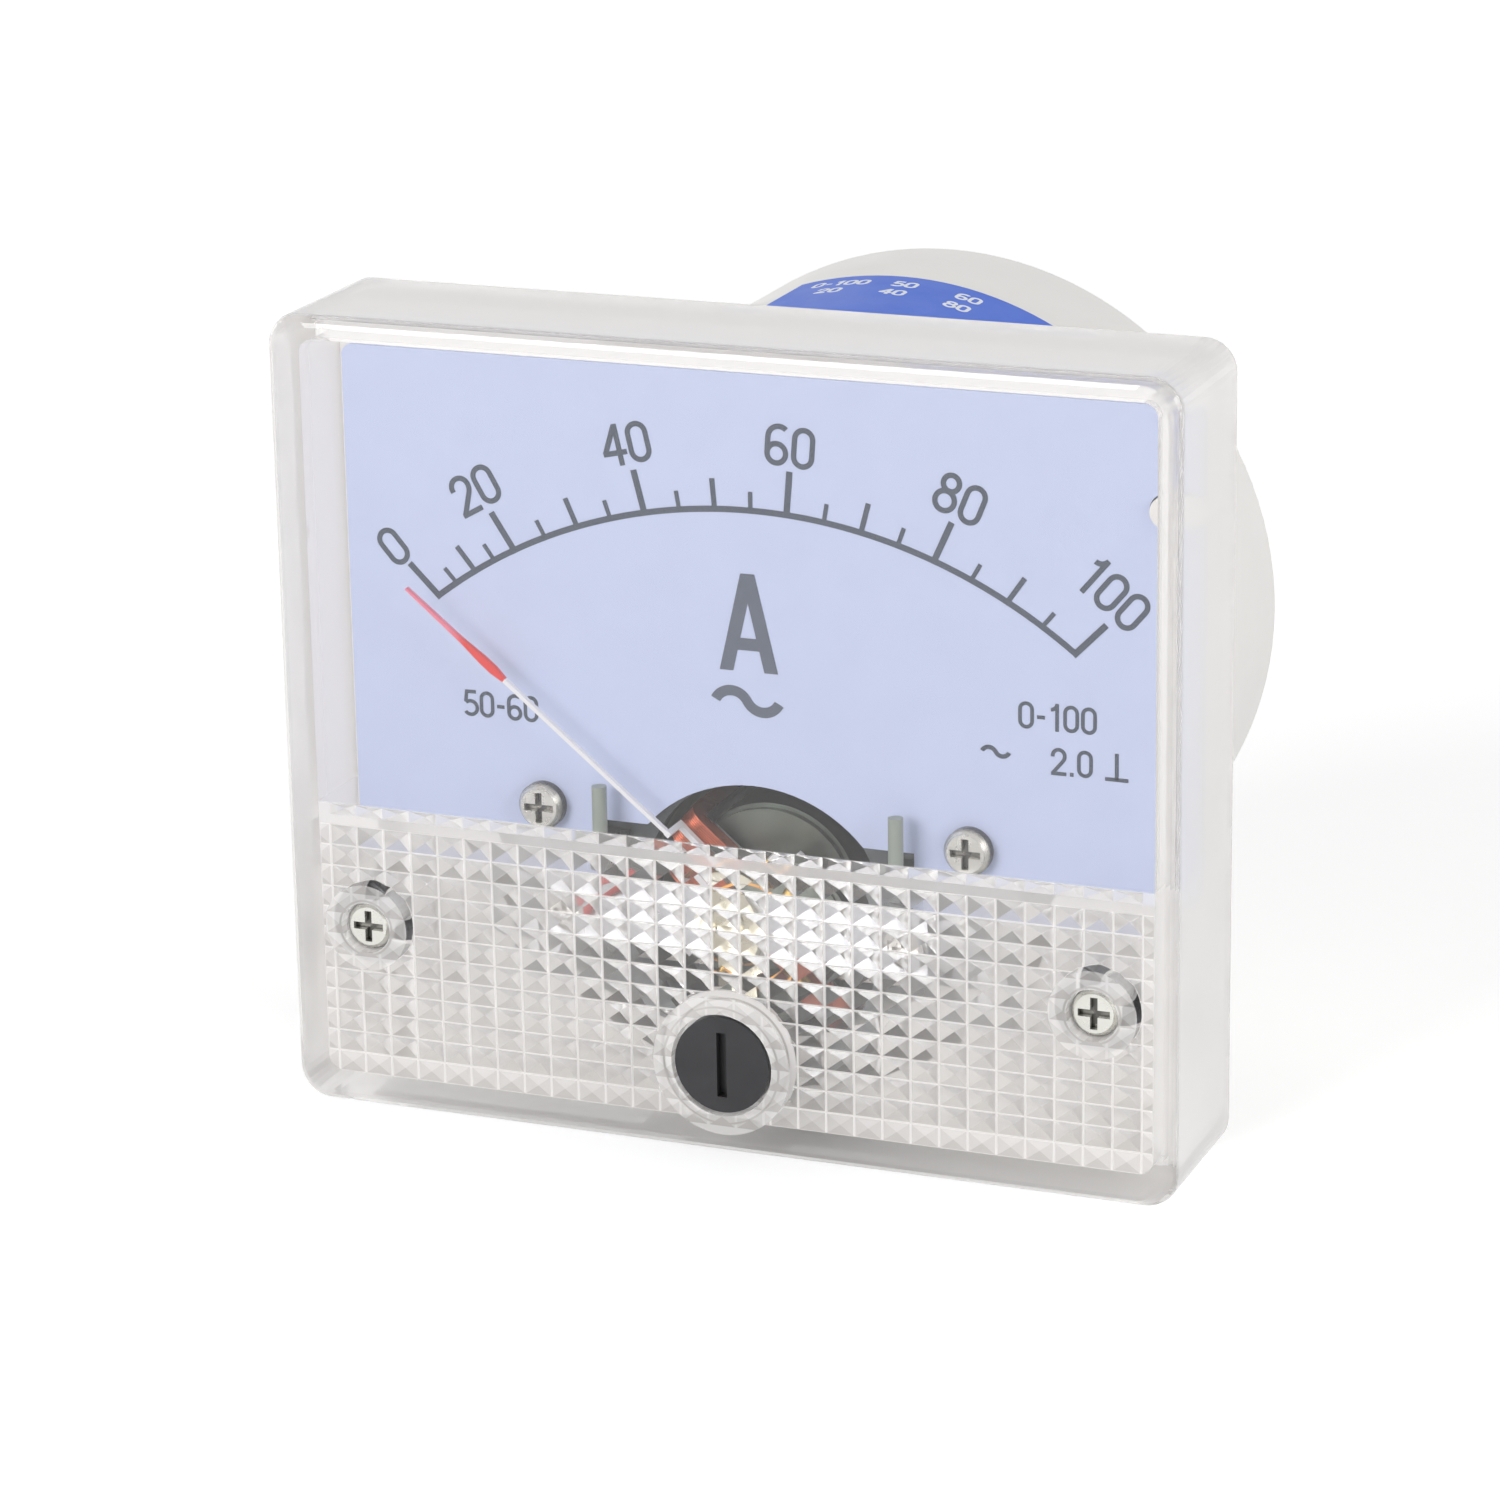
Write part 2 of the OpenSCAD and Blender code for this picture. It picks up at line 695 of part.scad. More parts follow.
// Movement frame: the plate that carries the yoke, the bridge and the dial.
module movement_frame() {
    color([0.3, 0.31, 0.33]) difference() {
        union() {
            slab(frame_y, frame_t) difference() {
                union() {
                    translate([0, pivot_z]) circle(yoke_out_r + frame_rim);
                    translate([0, plate_z]) rounded(plate_w, plate_h, plate_corner_r);
                }
                translate([0, pivot_z]) circle(yoke_in_r);
                translate([0, pivot_z]) 
                    square([2 * (yoke_out_r + strap_gap), 2 * (strap_half_w + strap_gap)], center = true);
            }
            both_sides(dial_screw_x, dial_screw_z) rod(dial_back_y, frame_y + eps, post_r);
        }
        both_sides(dial_screw_x, dial_screw_z) rod(dial_back_y - 1, 0, dial_screw_r + screw_gap);
        both_sides(frame_screw_x, frame_screw_z) rod(frame_y - 1, 0, frame_screw_r + screw_gap);
        both_sides(bridge_screw_x, pivot_z) rod(frame_y - 1, 0, bridge_screw_r + screw_gap);
        for (side = [-1, 1]) at(0, pivot_z + side * yoke_mid_r) {
            rod(frame_y - 1, 0, yoke_screw_r + screw_gap);
            rod(frame_y - 1, frame_y + yoke_head_t, yoke_head_r + screw_gap);
        }
    }
}
module frame_screws() {
    color("silver") both_sides(frame_screw_x, frame_screw_z)
        pan_screw(frame_y, frame_head_r, frame_head_t, frame_screw_r, frame_boss_l - frame_screw_short);
}
module yoke_ring() {
    color([0.5, 0.51, 0.53]) at_pivot() difference() {
        rod(yoke_y, yoke_end_y, yoke_out_r);
        rod(yoke_y - 1, yoke_end_y + 1, yoke_in_r);
        for (side = [-1, 1]) at(0, side * yoke_mid_r)
            rod(yoke_y - 1, yoke_y + yoke_screw_l + 0.5, yoke_screw_r + screw_gap);
        both_sides(yoke_mid_r, 0) rod(yoke_end_y - rear_hole_l, yoke_end_y + 1, rear_screw_r + screw_gap);
    }
}
module yoke_screws() {
    color("silver") for (side = [-1, 1]) at(0, pivot_z + side * yoke_mid_r)
        pan_screw(frame_y + yoke_head_t, yoke_head_r, yoke_head_t - thread_short, yoke_screw_r,
            yoke_y + yoke_screw_l);
}
module magnet_core() {
    color([0.36, 0.38, 0.38]) at_pivot() {
        rod(yoke_y, yoke_y + core_nose_l, core_r - core_nose);
        rod(yoke_y + core_nose_l - eps, yoke_end_y, core_r);
    }
}
module core_straps() {
    half_l = yoke_out_r - frame_rim;
    color([0.82, 0.7, 0.4]) at_pivot() for (y = [yoke_y - strap_t, yoke_end_y]) difference() {
        block([-half_l, half_l], [y, y + strap_t], [-strap_half_w, strap_half_w]);
        both_sides(yoke_mid_r, 0) rod(y - 1, y + 1, rear_screw_r + screw_gap);
    }
}
module rear_bridge() {
    foot_x = [yoke_in_r + strap_gap, yoke_out_r - frame_rim];
    color([0.72, 0.74, 0.76]) at_pivot() difference() {
        union() {
            block([-foot_x[1], foot_x[1]], [rear_bridge_y, rear_bridge_y + bridge_t],
                [-bridge_half_w, bridge_half_w]);
            for (side = [-1, 1]) rotate([0, side * 90 - 90, 0])
                block(foot_x, [yoke_end_y + strap_t, rear_bridge_y + eps], 
                    [-rear_foot_half_w, rear_foot_half_w]);
        }
        rod(rear_bridge_y - 1, rear_bridge_y + bridge_t + 1, jewel_screw_r + screw_gap);
        both_sides(yoke_mid_r, 0)
            rod(yoke_end_y, rear_bridge_y + bridge_t + 1, rear_screw_r + screw_gap);
    }
}
module rear_bridge_screws() {
    color("silver") at_pivot() both_sides(yoke_mid_r, 0)
        turned_over(rear_bridge_y + bridge_t) pan_screw(0, rear_head_r, rear_head_t, rear_screw_r,
            bridge_t + rear_bridge_y - yoke_end_y + rear_screw_l);
}

// The turning parts stand at zero, with the coil's plane under the pointer.
module coil_ring(y, end_y, half, wall) {
    mid_y = (y + end_y) / 2;
    length = end_y - y;
    rotate([90, 0, 90]) translate([mid_y, 0, -coil_w / 2]) linear_extrude(coil_w) difference() {
        rounded(length + 2 * wall, 2 * half + 2 * wall, 0.2 + wall);
        rounded(length, 2 * half, 0.2);
    }
}
module coil_former() {
    color([0.8, 0.8, 0.82]) at_pivot(-pointer_rest) coil_ring(former_y, former_end_y, coil_in, former_t);
}
module coil_winding() {
    color([0.72, 0.38, 0.22]) at_pivot(-pointer_rest)
        coil_ring(former_y - former_t, former_end_y + former_t, coil_in + former_t, winding_t);
}
module spindles() {
    color("silver") at_pivot() {
        rod(hub_y, winding_y, 1.2);
        rod(spindle_end_y, hub_y + eps, spindle_r);
        rod(winding_end_y, winding_end_y + hub_foot_t, 1.2);
        rod(winding_end_y + hub_foot_t - eps, rear_bridge_y + 0.1, spindle_r);
        difference() {
            rod(winding_end_y + 1.1, winding_end_y + 1.8, hairspring_in_r - 0.15);
            rod(winding_end_y, winding_end_y + 3, spindle_r - eps);
        }
    }
}
module pointer() {
    crank_at = [-crank_r * sin(pointer_rest - crank_lead), crank_r * cos(pointer_rest - crank_lead)];
    tip = [-pointer_tip_r * sin(pointer_rest), pointer_tip_r * cos(pointer_rest)];
    shaft_l = norm(tip - crank_at);
    shaft_turn = atan2(crank_at[0] - tip[0], tip[1] - crank_at[1]);
    lance_end = shaft_l - lance_tip_l;
    lance_start = lance_end - lance_l;
    color([0.93, 0.93, 0.93]) at_pivot() {
        difference() {
            rod(hub_y - hub_t, hub_y, 1.5);
            rod(hub_y - 2, hub_y + 1, spindle_r);
        }
        difference() {
            rod(hub_y - hub_t - collet_t, hub_y - hub_t + eps, hairspring_in_r - 0.15);
            rod(hub_y - 3, hub_y + 1, spindle_r);
        }
        rotate([0, -pointer_rest + crank_lead, 0])
            block([-arm_half_w, arm_half_w], [leg_y, leg_y + leg_t], [1.3, crank_r + arm_half_w]);
        for (turn = [90, 180, 270]) rotate([0, turn - pointer_rest, 0])
            block([-arm_half_w, arm_half_w], [leg_y, leg_y + leg_t], [1.3, 5.2]);
        at(crank_at[0], crank_at[1]) rotate([0, -shaft_turn, 0]) {
            block([-arm_half_w, arm_half_w], [shaft_y, leg_y + leg_t], [-arm_half_w, arm_half_w]);
            slab(shaft_y, shaft_t) for (side = [-1, 1]) scale([side, 1])
                polygon([[-eps, -arm_half_w], [arm_half_w, -arm_half_w], [shaft_half_w, arm_half_w],
                    [shaft_half_w, lance_start], [lance_half_w, lance_start + lance_l / 4],
                    [lance_half_w, lance_start + lance_l / 2], [shaft_half_w, lance_end],
                    [tip_half_w, shaft_l], [-eps, shaft_l]]);
        }
    }
}
module balance_weights() {
    color([0.75, 0.62, 0.32]) at_pivot() for (turn = [90, 180, 270]) rotate([0, turn - pointer_rest, 0])
        translate([0, leg_y + leg_t / 2, 3.2]) difference() {
            cylinder(h = turn == 180 ? 1.8 : 1.2, r = 0.55);
            translate([0, 0, -1]) cube([0.5, 0.5, 6], center = true);
        }
}

// Pointer stops: a bent tab on each side, with a soft sleeve on its pin.
module stop_brackets() {
    color([0.35, 0.36, 0.38]) for (side = [-1, 1]) at(side * stop_x, 0) {
        block([-stop_foot_half_w, stop_foot_half_w], [frame_y - stop_tab_t, frame_y],
            [stop_foot_z, stop_arm_top_z]);
        block([-stop_arm_half_w, stop_arm_half_w], [stop_pin_y - stop_pin_r, frame_y - stop_tab_t + eps],
            [stop_arm_z, stop_arm_top_z]);
        translate([0, stop_pin_y, stop_arm_z])
            cylinder(h = stop_top_z - stop_pin_short - stop_arm_z, r = stop_pin_r);
    }
}
module stop_sleeves() {
    sleeve_z = stop_arm_top_z + sleeve_gap;
    sleeve_l = stop_top_z - sleeve_z;
    color([0.72, 0.8, 0.76]) both_sides(stop_x, 0) translate([0, stop_pin_y, sleeve_z]) difference() {
        cylinder(h = sleeve_l, r = sleeve_r);
        translate([0, 0, -1])
            cylinder(h = sleeve_l + 1 - stop_pin_short + sleeve_gap, r = stop_pin_r + clip_gap);
    }
}

// Board and what it carries: rectifier diodes, a resistor and the current transformer.
module circuit_board() {
    color([0.72, 0.6, 0.32]) slab(board_y, board_t) difference() {
        rounded(board_w, board_h, board_corner_r);
        for (side = [-1, 1]) translate([side * terminal_x, 0]) circle(terminal_r + board_hole_gap);
    }
}
module axial_part(length, r, lead_l) {
    rise = r + axial_lift;
    translate([0, board_y - rise, 0]) {
        translate([-length / 2, 0, 0]) rotate([0, 90, 0]) cylinder(h = length, r = r);
        translate([-lead_l / 2 - lead_r, 0, 0]) rotate([0, 90, 0])
            cylinder(h = lead_l + 2 * lead_r, r = lead_r);
        both_sides(lead_l / 2, 0) rod(0, rise, lead_r);
    }
}
module diodes() {
    color([0.15, 0.15, 0.16]) for (z = [diode_z, diode_z - diode_step]) both_sides(diode_x, z)
        axial_part(diode_l, axial_r, diode_lead_l);
}
module resistor() {
    color([0.72, 0.6, 0.45]) at(0, resistor_z) axial_part(resistor_l, axial_r, resistor_lead_l);
}
module transformer_core() {
    color([0.45, 0.46, 0.48]) slab(core_y, core_t) translate([0, core_mid_z]) difference() {
        square([core_w, core_h], center = true);
        for (side = [-1, 1]) translate([side * (limb_w + window_w) / 2, 0])
            square([window_w, window_h], center = true);
    }
}
// A ring round the middle limb, from its inner to its outer outline.
module limb_ring(z, end_z, inner, outer) {
    mid_y = core_y + core_t / 2;
    translate([0, mid_y, z]) linear_extrude(end_z - z) difference() {
        rounded(limb_w + 2 * outer, core_t + 2 * outer, 0.3 + outer / 2);
        rounded(limb_w + 2 * inner, core_t + 2 * inner, 0.1 + inner / 2);
    }
}
module transformer_bobbin() {
    mid_y = core_y + core_t / 2;
    color([0.9, 0.88, 0.8]) difference() {
        union() {
            limb_ring(bobbin_z, bobbin_end_z, bobbin_gap, bobbin_wall);
            for (z = [bobbin_z, bobbin_end_z - cheek_t]) {
                limb_ring(z, z + cheek_t, bobbin_gap, cheek_out);
                block([-cheek_foot_half_w, cheek_foot_half_w], [mid_y + core_t / 2 + bobbin_wall, board_y],
                    [z, z + cheek_t]);
            }
        }
        block([-limb_w / 2 - bobbin_gap, limb_w / 2 + bobbin_gap],
            [core_y - bobbin_gap, core_y + core_t + bobbin_gap], [bobbin_z - 1, bobbin_end_z + 1]);
    }
}
module secondary_winding() {
    color([0.72, 0.4, 0.2]) limb_ring(bobbin_z + cheek_t + winding_gap, bobbin_end_z - cheek_t - winding_gap,
        secondary_in, secondary_out);
}
module primary_winding() {
    start_z = bobbin_z + cheek_t + 2 * winding_gap;
    end_z = bobbin_end_z - cheek_t - 2 * winding_gap;
    pitch = (end_z - start_z) / primary_turns;
    color([0.8, 0.45, 0.25]) {
        limb_ring(start_z, end_z, primary_in, primary_in + primary_base);
        for (i = [0:primary_turns - 1])
            limb_ring(start_z + i * pitch + primary_turn_gap / 2,
                start_z + (i + 1) * pitch - primary_turn_gap / 2,
                primary_in + primary_base / 2, primary_out);
    }
}

// A round wire along a path: one ring of corners a point, square to the way it runs there.
function way(path, i) = let (a = path[max(i - 1, 0)], b = path[min(i + 1, len(path) - 1)])
    (b - a) / norm(b - a);
function square_to(v) = let (c = cross(v, abs(v[2]) < 0.8 ? [0, 0, 1] : [1, 0, 0])) c / norm(c);
function ring(path, i, r, sides) = let (w = way(path, i), u = square_to(w), v = cross(w, u))
    [for (k = [0:sides - 1]) path[i] + r * (u * cos(360 * k / sides) + v * sin(360 * k / sides))];
module wire(path, r, sides = 8) {
    n = len(path);
    polyhedron(
        [for (i = [0:n - 1]) each ring(path, i, r, sides)],
        concat(
            [[for (k = [0:sides - 1]) k]],
            [for (i = [0:n - 2], k = [0:sides - 1]) [i * sides + k, (i + 1) * sides + k,
                (i + 1) * sides + (k + 1) % sides, i * sides + (k + 1) % sides]],
            [[for (k = [sides - 1:-1:0]) (n - 1) * sides + k]]));
}
module primary_leads() {
    start_y = core_y - primary_out - primary_lead_r - winding_gap;
    start_z = bobbin_end_z - cheek_t - 2 * winding_gap - primary_lead_r;
    pad_z = core_mid_z + 2.1;
    color([0.8, 0.45, 0.25]) for (side = [-1, 1]) wire([
        [side * 0.8 * limb_w, start_y, start_z], [side * 1.6 * limb_w, start_y, start_z + primary_lead_r],
        [side * (terminal_x - 2.8), start_y + 2, start_z + 1.6],
        [side * (terminal_x - 1.2), core_y + 2, start_z + 1.8],
        [side * (terminal_x - 0.2), core_y + core_t - 0.6, pad_z + 1.4],
        [side * terminal_x, board_y - 1, pad_z], [side * terminal_x, board_y - solder_gap, pad_z]],
        primary_lead_r);
}
module movement_leads() {
    pad_x = terminal_x + 1.6;
    color([0.75, 0.12, 0.12]) wire([
        [hairspring_out_r + 0.6, rear_bridge_y - 0.4, pivot_z],
        [hairspring_out_r + 2.4, rear_bridge_y - 1.2, pivot_z + 3],
        [terminal_x - 0.5, rear_bridge_y, pivot_z + 4], [pad_x + 0.9, rear_bridge_y + 6, pivot_z + 3.4],
        [pad_x + 0.4, rear_bridge_y + 11, pivot_z + 1.8], [pad_x, board_y - 1, pivot_z + 1],
        [pad_x, board_y - solder_gap, pivot_z + 1]], movement_lead_r);
}
module solder_lugs() {
    color("silver") both_sides(terminal_x, 0) slab(rear_inside_y - lug_t, lug_t) difference() {
        union() {
            circle(tag_r);
            translate([-tag_w / 2, -tag_l]) square([tag_w, tag_l]);
        }
        circle(terminal_r + screw_gap);
    }
}
module terminal_studs() {
    end_y = case_depth + terminal_l;
    color([0.8, 0.76, 0.6]) both_sides(terminal_x, 0) {
        hexagon(board_y - head_t, board_y, head_r);
        rod(board_y - eps, end_y - tip_l, terminal_r);
        cone(end_y - tip_l, end_y, terminal_r, terminal_r - tip_l);
    }
}
module terminal_washers() {
    first_y = case_depth + terminal_pad_t;
    second_y = first_y + washer_t + nut_t + nut_gap;
    third_y = second_y + washer_t + nut_gap;
    color("silver") both_sides(terminal_x, 0) for (y = [first_y, second_y, third_y]) difference() {
        rod(y, y + washer_t, washer_r);
        rod(y - 1, y + 1, terminal_r + screw_gap);
    }
}
module terminal_nuts() {
    first_y = case_depth + terminal_pad_t + washer_t;
    second_y = first_y + nut_t + 2 * (washer_t + nut_gap);
    color("silver") both_sides(terminal_x, 0) for (y = [first_y, second_y]) difference() {
        hexagon(y, y + nut_t, head_r);
        rod(y - 1, y + 4, terminal_r + screw_gap);
    }
}

cover();
base();
label();
dial();
dial_screws();
cover_screws();
mounting_studs();
zero_adjuster();
adjuster_clip();
zero_lever();
front_hairspring();
front_bridge();
bridge_screws();
jewel_screws();
jewels();
lock_nuts();
movement_frame();
frame_screws();
yoke_ring();
yoke_screws();
magnet_core();
core_straps();
rear_bridge();
rear_bridge_screws();
rear_hairspring();
coil_former();
coil_winding();
spindles();
pointer();
balance_weights();
stop_brackets();
stop_sleeves();
circuit_board();
diodes();
resistor();
transformer_core();
transformer_bobbin();
secondary_winding();
primary_winding();
primary_leads();
movement_leads();
solder_lugs();
terminal_studs();
terminal_washers();
terminal_nuts();
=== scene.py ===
import json
import math

import bmesh
import bpy
from mathutils import Matrix, Vector


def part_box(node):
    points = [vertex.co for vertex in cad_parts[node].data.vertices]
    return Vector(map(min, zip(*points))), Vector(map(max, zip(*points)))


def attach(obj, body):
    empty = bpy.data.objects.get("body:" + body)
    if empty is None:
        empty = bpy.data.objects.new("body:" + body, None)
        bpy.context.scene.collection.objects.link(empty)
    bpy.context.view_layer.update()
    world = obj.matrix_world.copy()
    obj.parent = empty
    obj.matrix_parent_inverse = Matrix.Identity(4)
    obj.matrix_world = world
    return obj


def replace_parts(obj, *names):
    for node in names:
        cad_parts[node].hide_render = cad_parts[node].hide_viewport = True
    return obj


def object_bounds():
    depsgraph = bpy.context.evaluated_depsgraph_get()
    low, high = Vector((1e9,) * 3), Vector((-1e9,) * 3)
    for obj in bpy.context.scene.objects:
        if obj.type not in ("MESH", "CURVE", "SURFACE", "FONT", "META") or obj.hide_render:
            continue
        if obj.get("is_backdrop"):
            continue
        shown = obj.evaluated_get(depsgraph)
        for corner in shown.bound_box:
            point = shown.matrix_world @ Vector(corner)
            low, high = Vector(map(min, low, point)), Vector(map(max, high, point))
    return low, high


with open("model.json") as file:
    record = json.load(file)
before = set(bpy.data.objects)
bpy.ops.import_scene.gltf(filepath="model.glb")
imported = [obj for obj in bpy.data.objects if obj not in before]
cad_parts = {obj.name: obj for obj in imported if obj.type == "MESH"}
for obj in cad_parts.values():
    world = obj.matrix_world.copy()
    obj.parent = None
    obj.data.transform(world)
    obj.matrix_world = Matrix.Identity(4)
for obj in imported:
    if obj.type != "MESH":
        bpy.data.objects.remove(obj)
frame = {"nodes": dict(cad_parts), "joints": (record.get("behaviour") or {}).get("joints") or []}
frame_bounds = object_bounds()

MM = 0.001
ACROSS_Y = (0, 1, 0)
WHITE = (1, 1, 1, 1)

# The camera's place in metres, its turn in degrees and its lens in millimetres
CAMERA_PLACE = (0.12597, -0.31654, 0.10446)
CAMERA_TURN = (72.494, 0.963, 21.776)
LENS = 125.3
SENSOR_W = 36

# Each lamp's name, place and width in metres, and power in watts; all look at one point in the meter
LAMPS = (
    ("Key_Softbox", (-0.5, -0.95, 0.45), 0.6, 7.3),
    ("Side_Softbox", (0.9, -0.35, 0.35), 0.5, 3.3),
    ("Top_Softbox", (0.1, 0.3, 0.95), 0.8, 1.0),
    ("Rear_Softbox", (0.65, 0.8, 0.45), 0.6, 1.5),
)
LIT_AT = Vector((0, 0.01, 0))
SKY_LIGHT = 0.35
FLOOR_SIZE = 4
FLOOR_GAP = 0.02 * MM
FLOOR_GREY = 0.88

# The floor's own glow, close to the meter and far from it, and the distances of the two
NEAR_GLOW, FAR_GLOW = 0.42, 1.0
GLOW_NEAR, GLOW_FAR = 0.3, 1.4

# The cover: its corners, the window's inner face and the pyramids inside it
COVER_CORNER_R = 2.2 * MM
WINDOW_BACK = -10.2 * MM
PRISM_TOP = -6.5 * MM
PRISM_W = 2.02 * MM
PRISM_H = 1.51 * MM
PRISM_STRIP = 1.5 * MM
SMOOTH_STRIP = 0.7 * MM
PRISM_DEPTH = 0.65 * MM
FIELD_H = 18.05 * MM
FIELD_HALF_W = 30 * MM
FIELD_CENTRE = (2 * MM, -12 * MM)
CLEAR_R, MILKY_R = 7 * MM, 17 * MM
VALLEY_START, VALLEY_FULL = 0.445, 0.465
SCREW_BOSS_R, SCREW_HOLE_R = 3.05 * MM, 1.8 * MM
KNOB_BOSS_R, KNOB_HOLE_R = 4.95 * MM, 4.0 * MM
SHARP = 0.05 * MM

# How milky the cover is, from 0 for clear to 1
WALL_FROST = 0.6
INNER_FROST = 0.35
PRISM_FROST = 0.12
PRISM_EDGE_FROST = 0.58
VALLEY_FROST = 0.85
BOSS_FROST = 0.5
BOSS_END_FROST = 1.0
FLANK_SHADE = 0.45

STYRENE_IOR = 1.49
PEEL_DEPTH = 0.05 * MM
LANCE_L = 9.3 * MM
BAND_HALF_W = 0.22 * MM
scene = bpy.context.scene
dial_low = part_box("dial")[0]
pivot = Vector(next(j["pos_m"] for j in frame["joints"] if j["name"] == "pointer_swing"))


# Camera, light and floor

def place_camera():
    eye = bpy.data.cameras.new("Eye")
    eye.lens = LENS
    eye.sensor_width = SENSOR_W
    eye.clip_start = 0.01
    camera = bpy.data.objects.new("Eye", eye)
    camera.location = CAMERA_PLACE
    camera.rotation_euler = [math.radians(angle) for angle in CAMERA_TURN]
    scene.collection.objects.link(camera)
    scene.camera = camera


def hang_lamp(name, place, width, power):
    lamp = bpy.data.lights.new(name, "AREA")
    lamp.size = width
    lamp.energy = power
    holder = bpy.data.objects.new(name, lamp)
    holder.location = place
    holder.rotation_euler = (LIT_AT - Vector(place)).to_track_quat("-Z", "Y").to_euler()
    scene.collection.objects.link(holder)


def light_studio():
    """Softboxes round the meter, in a world that is white to look at and dimmer as a light."""
    for lamp in LAMPS:
        hang_lamp(*lamp)
    world = bpy.data.worlds.new("Studio")
    scene.world = world
    world.use_nodes = True
    world.node_tree.nodes.clear()
    tree = Tree(world.node_tree)
    seen = tree.add("Background", {"Color": WHITE, "Strength": 1.0})
    lit = tree.add("Background", {"Color": WHITE, "Strength": SKY_LIGHT})
    mixed = tree.add("MixShader", {0: tree.seen_mask(), 1: lit.outputs[0], 2: seen.outputs[0]})
    tree.add("OutputWorld", {"Surface": mixed.outputs[0]})


def lay_floor():
    """White paper that keeps the shadow near the meter and fades into the background far from it."""
    bm = bmesh.new()
    under = Matrix.Translation((0, 0, frame_bounds[0][2] - FLOOR_GAP))
    bmesh.ops.create_grid(bm, x_segments=1, y_segments=1, size=FLOOR_SIZE, matrix=under)
    mesh = bpy.data.meshes.new("Floor")
    bm.to_mesh(mesh)
    bm.free()
    floor = bpy.data.objects.new("Floor", mesh)
    scene.collection.objects.link(floor)
    material, tree = new_finish("Floor_Paper")
    reach = tree.span(*tree.place_parts()[:2])
    lifted = tree.product(tree.seen_mask(), tree.rise(reach, GLOW_NEAR, GLOW_FAR, NEAR_GLOW, FAR_GLOW))
    paper = tree.add("BsdfPrincipled", {
        "Base Color": (FLOOR_GREY, FLOOR_GREY, FLOOR_GREY, 1), "Roughness": 0.9, "Specular IOR Level": 0.0})
    glow = tree.add("Emission", {"Color": WHITE, "Strength": lifted})
    both = tree.add("AddShader", {0: paper.outputs[0], 1: glow.outputs[0]})
    close_finish(tree, both.outputs[0])
    mesh.materials.append(material)
    floor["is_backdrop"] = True


# Node trees

class Tree:
    """A node tree, with one call that places a node and wires it."""

    def __init__(self, tree):
        self.tree = tree

    def add(self, kind, inputs=None, **settings):
        node = self.tree.nodes.new("ShaderNode" + kind)
        for name, value in settings.items():
            setattr(node, name, value)
        for name, value in (inputs or {}).items():
            if isinstance(value, bpy.types.NodeSocket):
                self.tree.links.new(value, node.inputs[name])
            else:
                node.inputs[name].default_value = value
        return node

    def use(self, group, **values):
        node = self.tree.nodes.new("ShaderNodeGroup")
        node.node_tree = group
        for name, value in values.items():
            socket = node.inputs[name.replace("_", " ")]
            if isinstance(value, bpy.types.NodeSocket):
                self.tree.links.new(value, socket)
            else:
                socket.default_value = value
        return node

    def math(self, operation, first, second=0.0):
        return self.add("Math", {0: first, 1: second}, operation=operation).outputs[0]

    def product(self, first, second):
        return self.math("MULTIPLY", first, second)

    def most(self, first, second):
        return self.math("MAXIMUM", first, second)

    def less(self, first, second):
        return self.math("SUBTRACT", first, second)

    def span(self, first, second):
        """The diagonal of two lengths at right angles."""
        squares = [self.math("POWER", length, 2.0) for length in (first, second)]
        return self.math("SQRT", self.math("ADD", *squares))

    def rise(self, value, low, high, first=0.0, last=1.0):
        """Goes from the first figure to the last while the value goes from low to high."""
        return self.add("MapRange", {"Value": value, "From Min": low, "From Max": high,
                                     "To Min": first, "To Max": last}).outputs[0]

    def place(self):
        return self.add("TexCoord").outputs["Object"]

    def place_parts(self):
        parts = self.add("SeparateXYZ", {0: self.place()}).outputs
        return parts["X"], parts["Y"], parts["Z"]

    def seen_mask(self):
        """1 for what is seen straight on, mirrored or through the cover, 0 for what only lights."""
        path = self.add("LightPath")
        shiny = self.most(path.outputs["Is Camera Ray"], path.outputs["Is Glossy Ray"])
        return self.most(shiny, path.outputs["Is Transmission Ray"])


def new_group(name, inputs, outputs):
    group = bpy.data.node_groups.new(name, "ShaderNodeTree")
    kinds = {"c": "NodeSocketColor", "v": "NodeSocketVector", "f": "NodeSocketFloat"}
    for label, (kind, value) in inputs.items():
        group.interface.new_socket(name=label, in_out="INPUT", socket_type=kinds[kind]).default_value = value
    for label, kind in outputs.items():
        group.interface.new_socket(name=label, in_out="OUTPUT", socket_type=kinds[kind])
    tree = Tree(group)
    given = group.nodes.new("NodeGroupInput").outputs
    return group, tree, given


def close_group(tree, results):
    out = tree.tree.nodes.new("NodeGroupOutput")
    for name, socket in results.items():
        tree.tree.links.new(socket, out.inputs[name])


def make_skin_group():
    """Moulded skin: slow clouds in the gloss and a fine orange peel."""
    group, tree, given = new_group(
        "Moulded_Skin",
        {"Scale": ("f", 900.0), "Gloss Low": ("f", 0.2), "Gloss High": ("f", 0.3)},
        {"Roughness": "f", "Height": "f"})
    clouds = tree.add("TexNoise", {"Vector": tree.place(), "Scale": 160.0, "Detail": 3.0})
    peel = tree.add("TexNoise", {"Vector": tree.place(), "Scale": given["Scale"], "Detail": 2.0})
    gloss = tree.rise(clouds.outputs["Fac"], 0.3, 0.7, given["Gloss Low"], given["Gloss High"])
    close_group(tree, {"Roughness": gloss, "Height": peel.outputs["Fac"]})
    return group


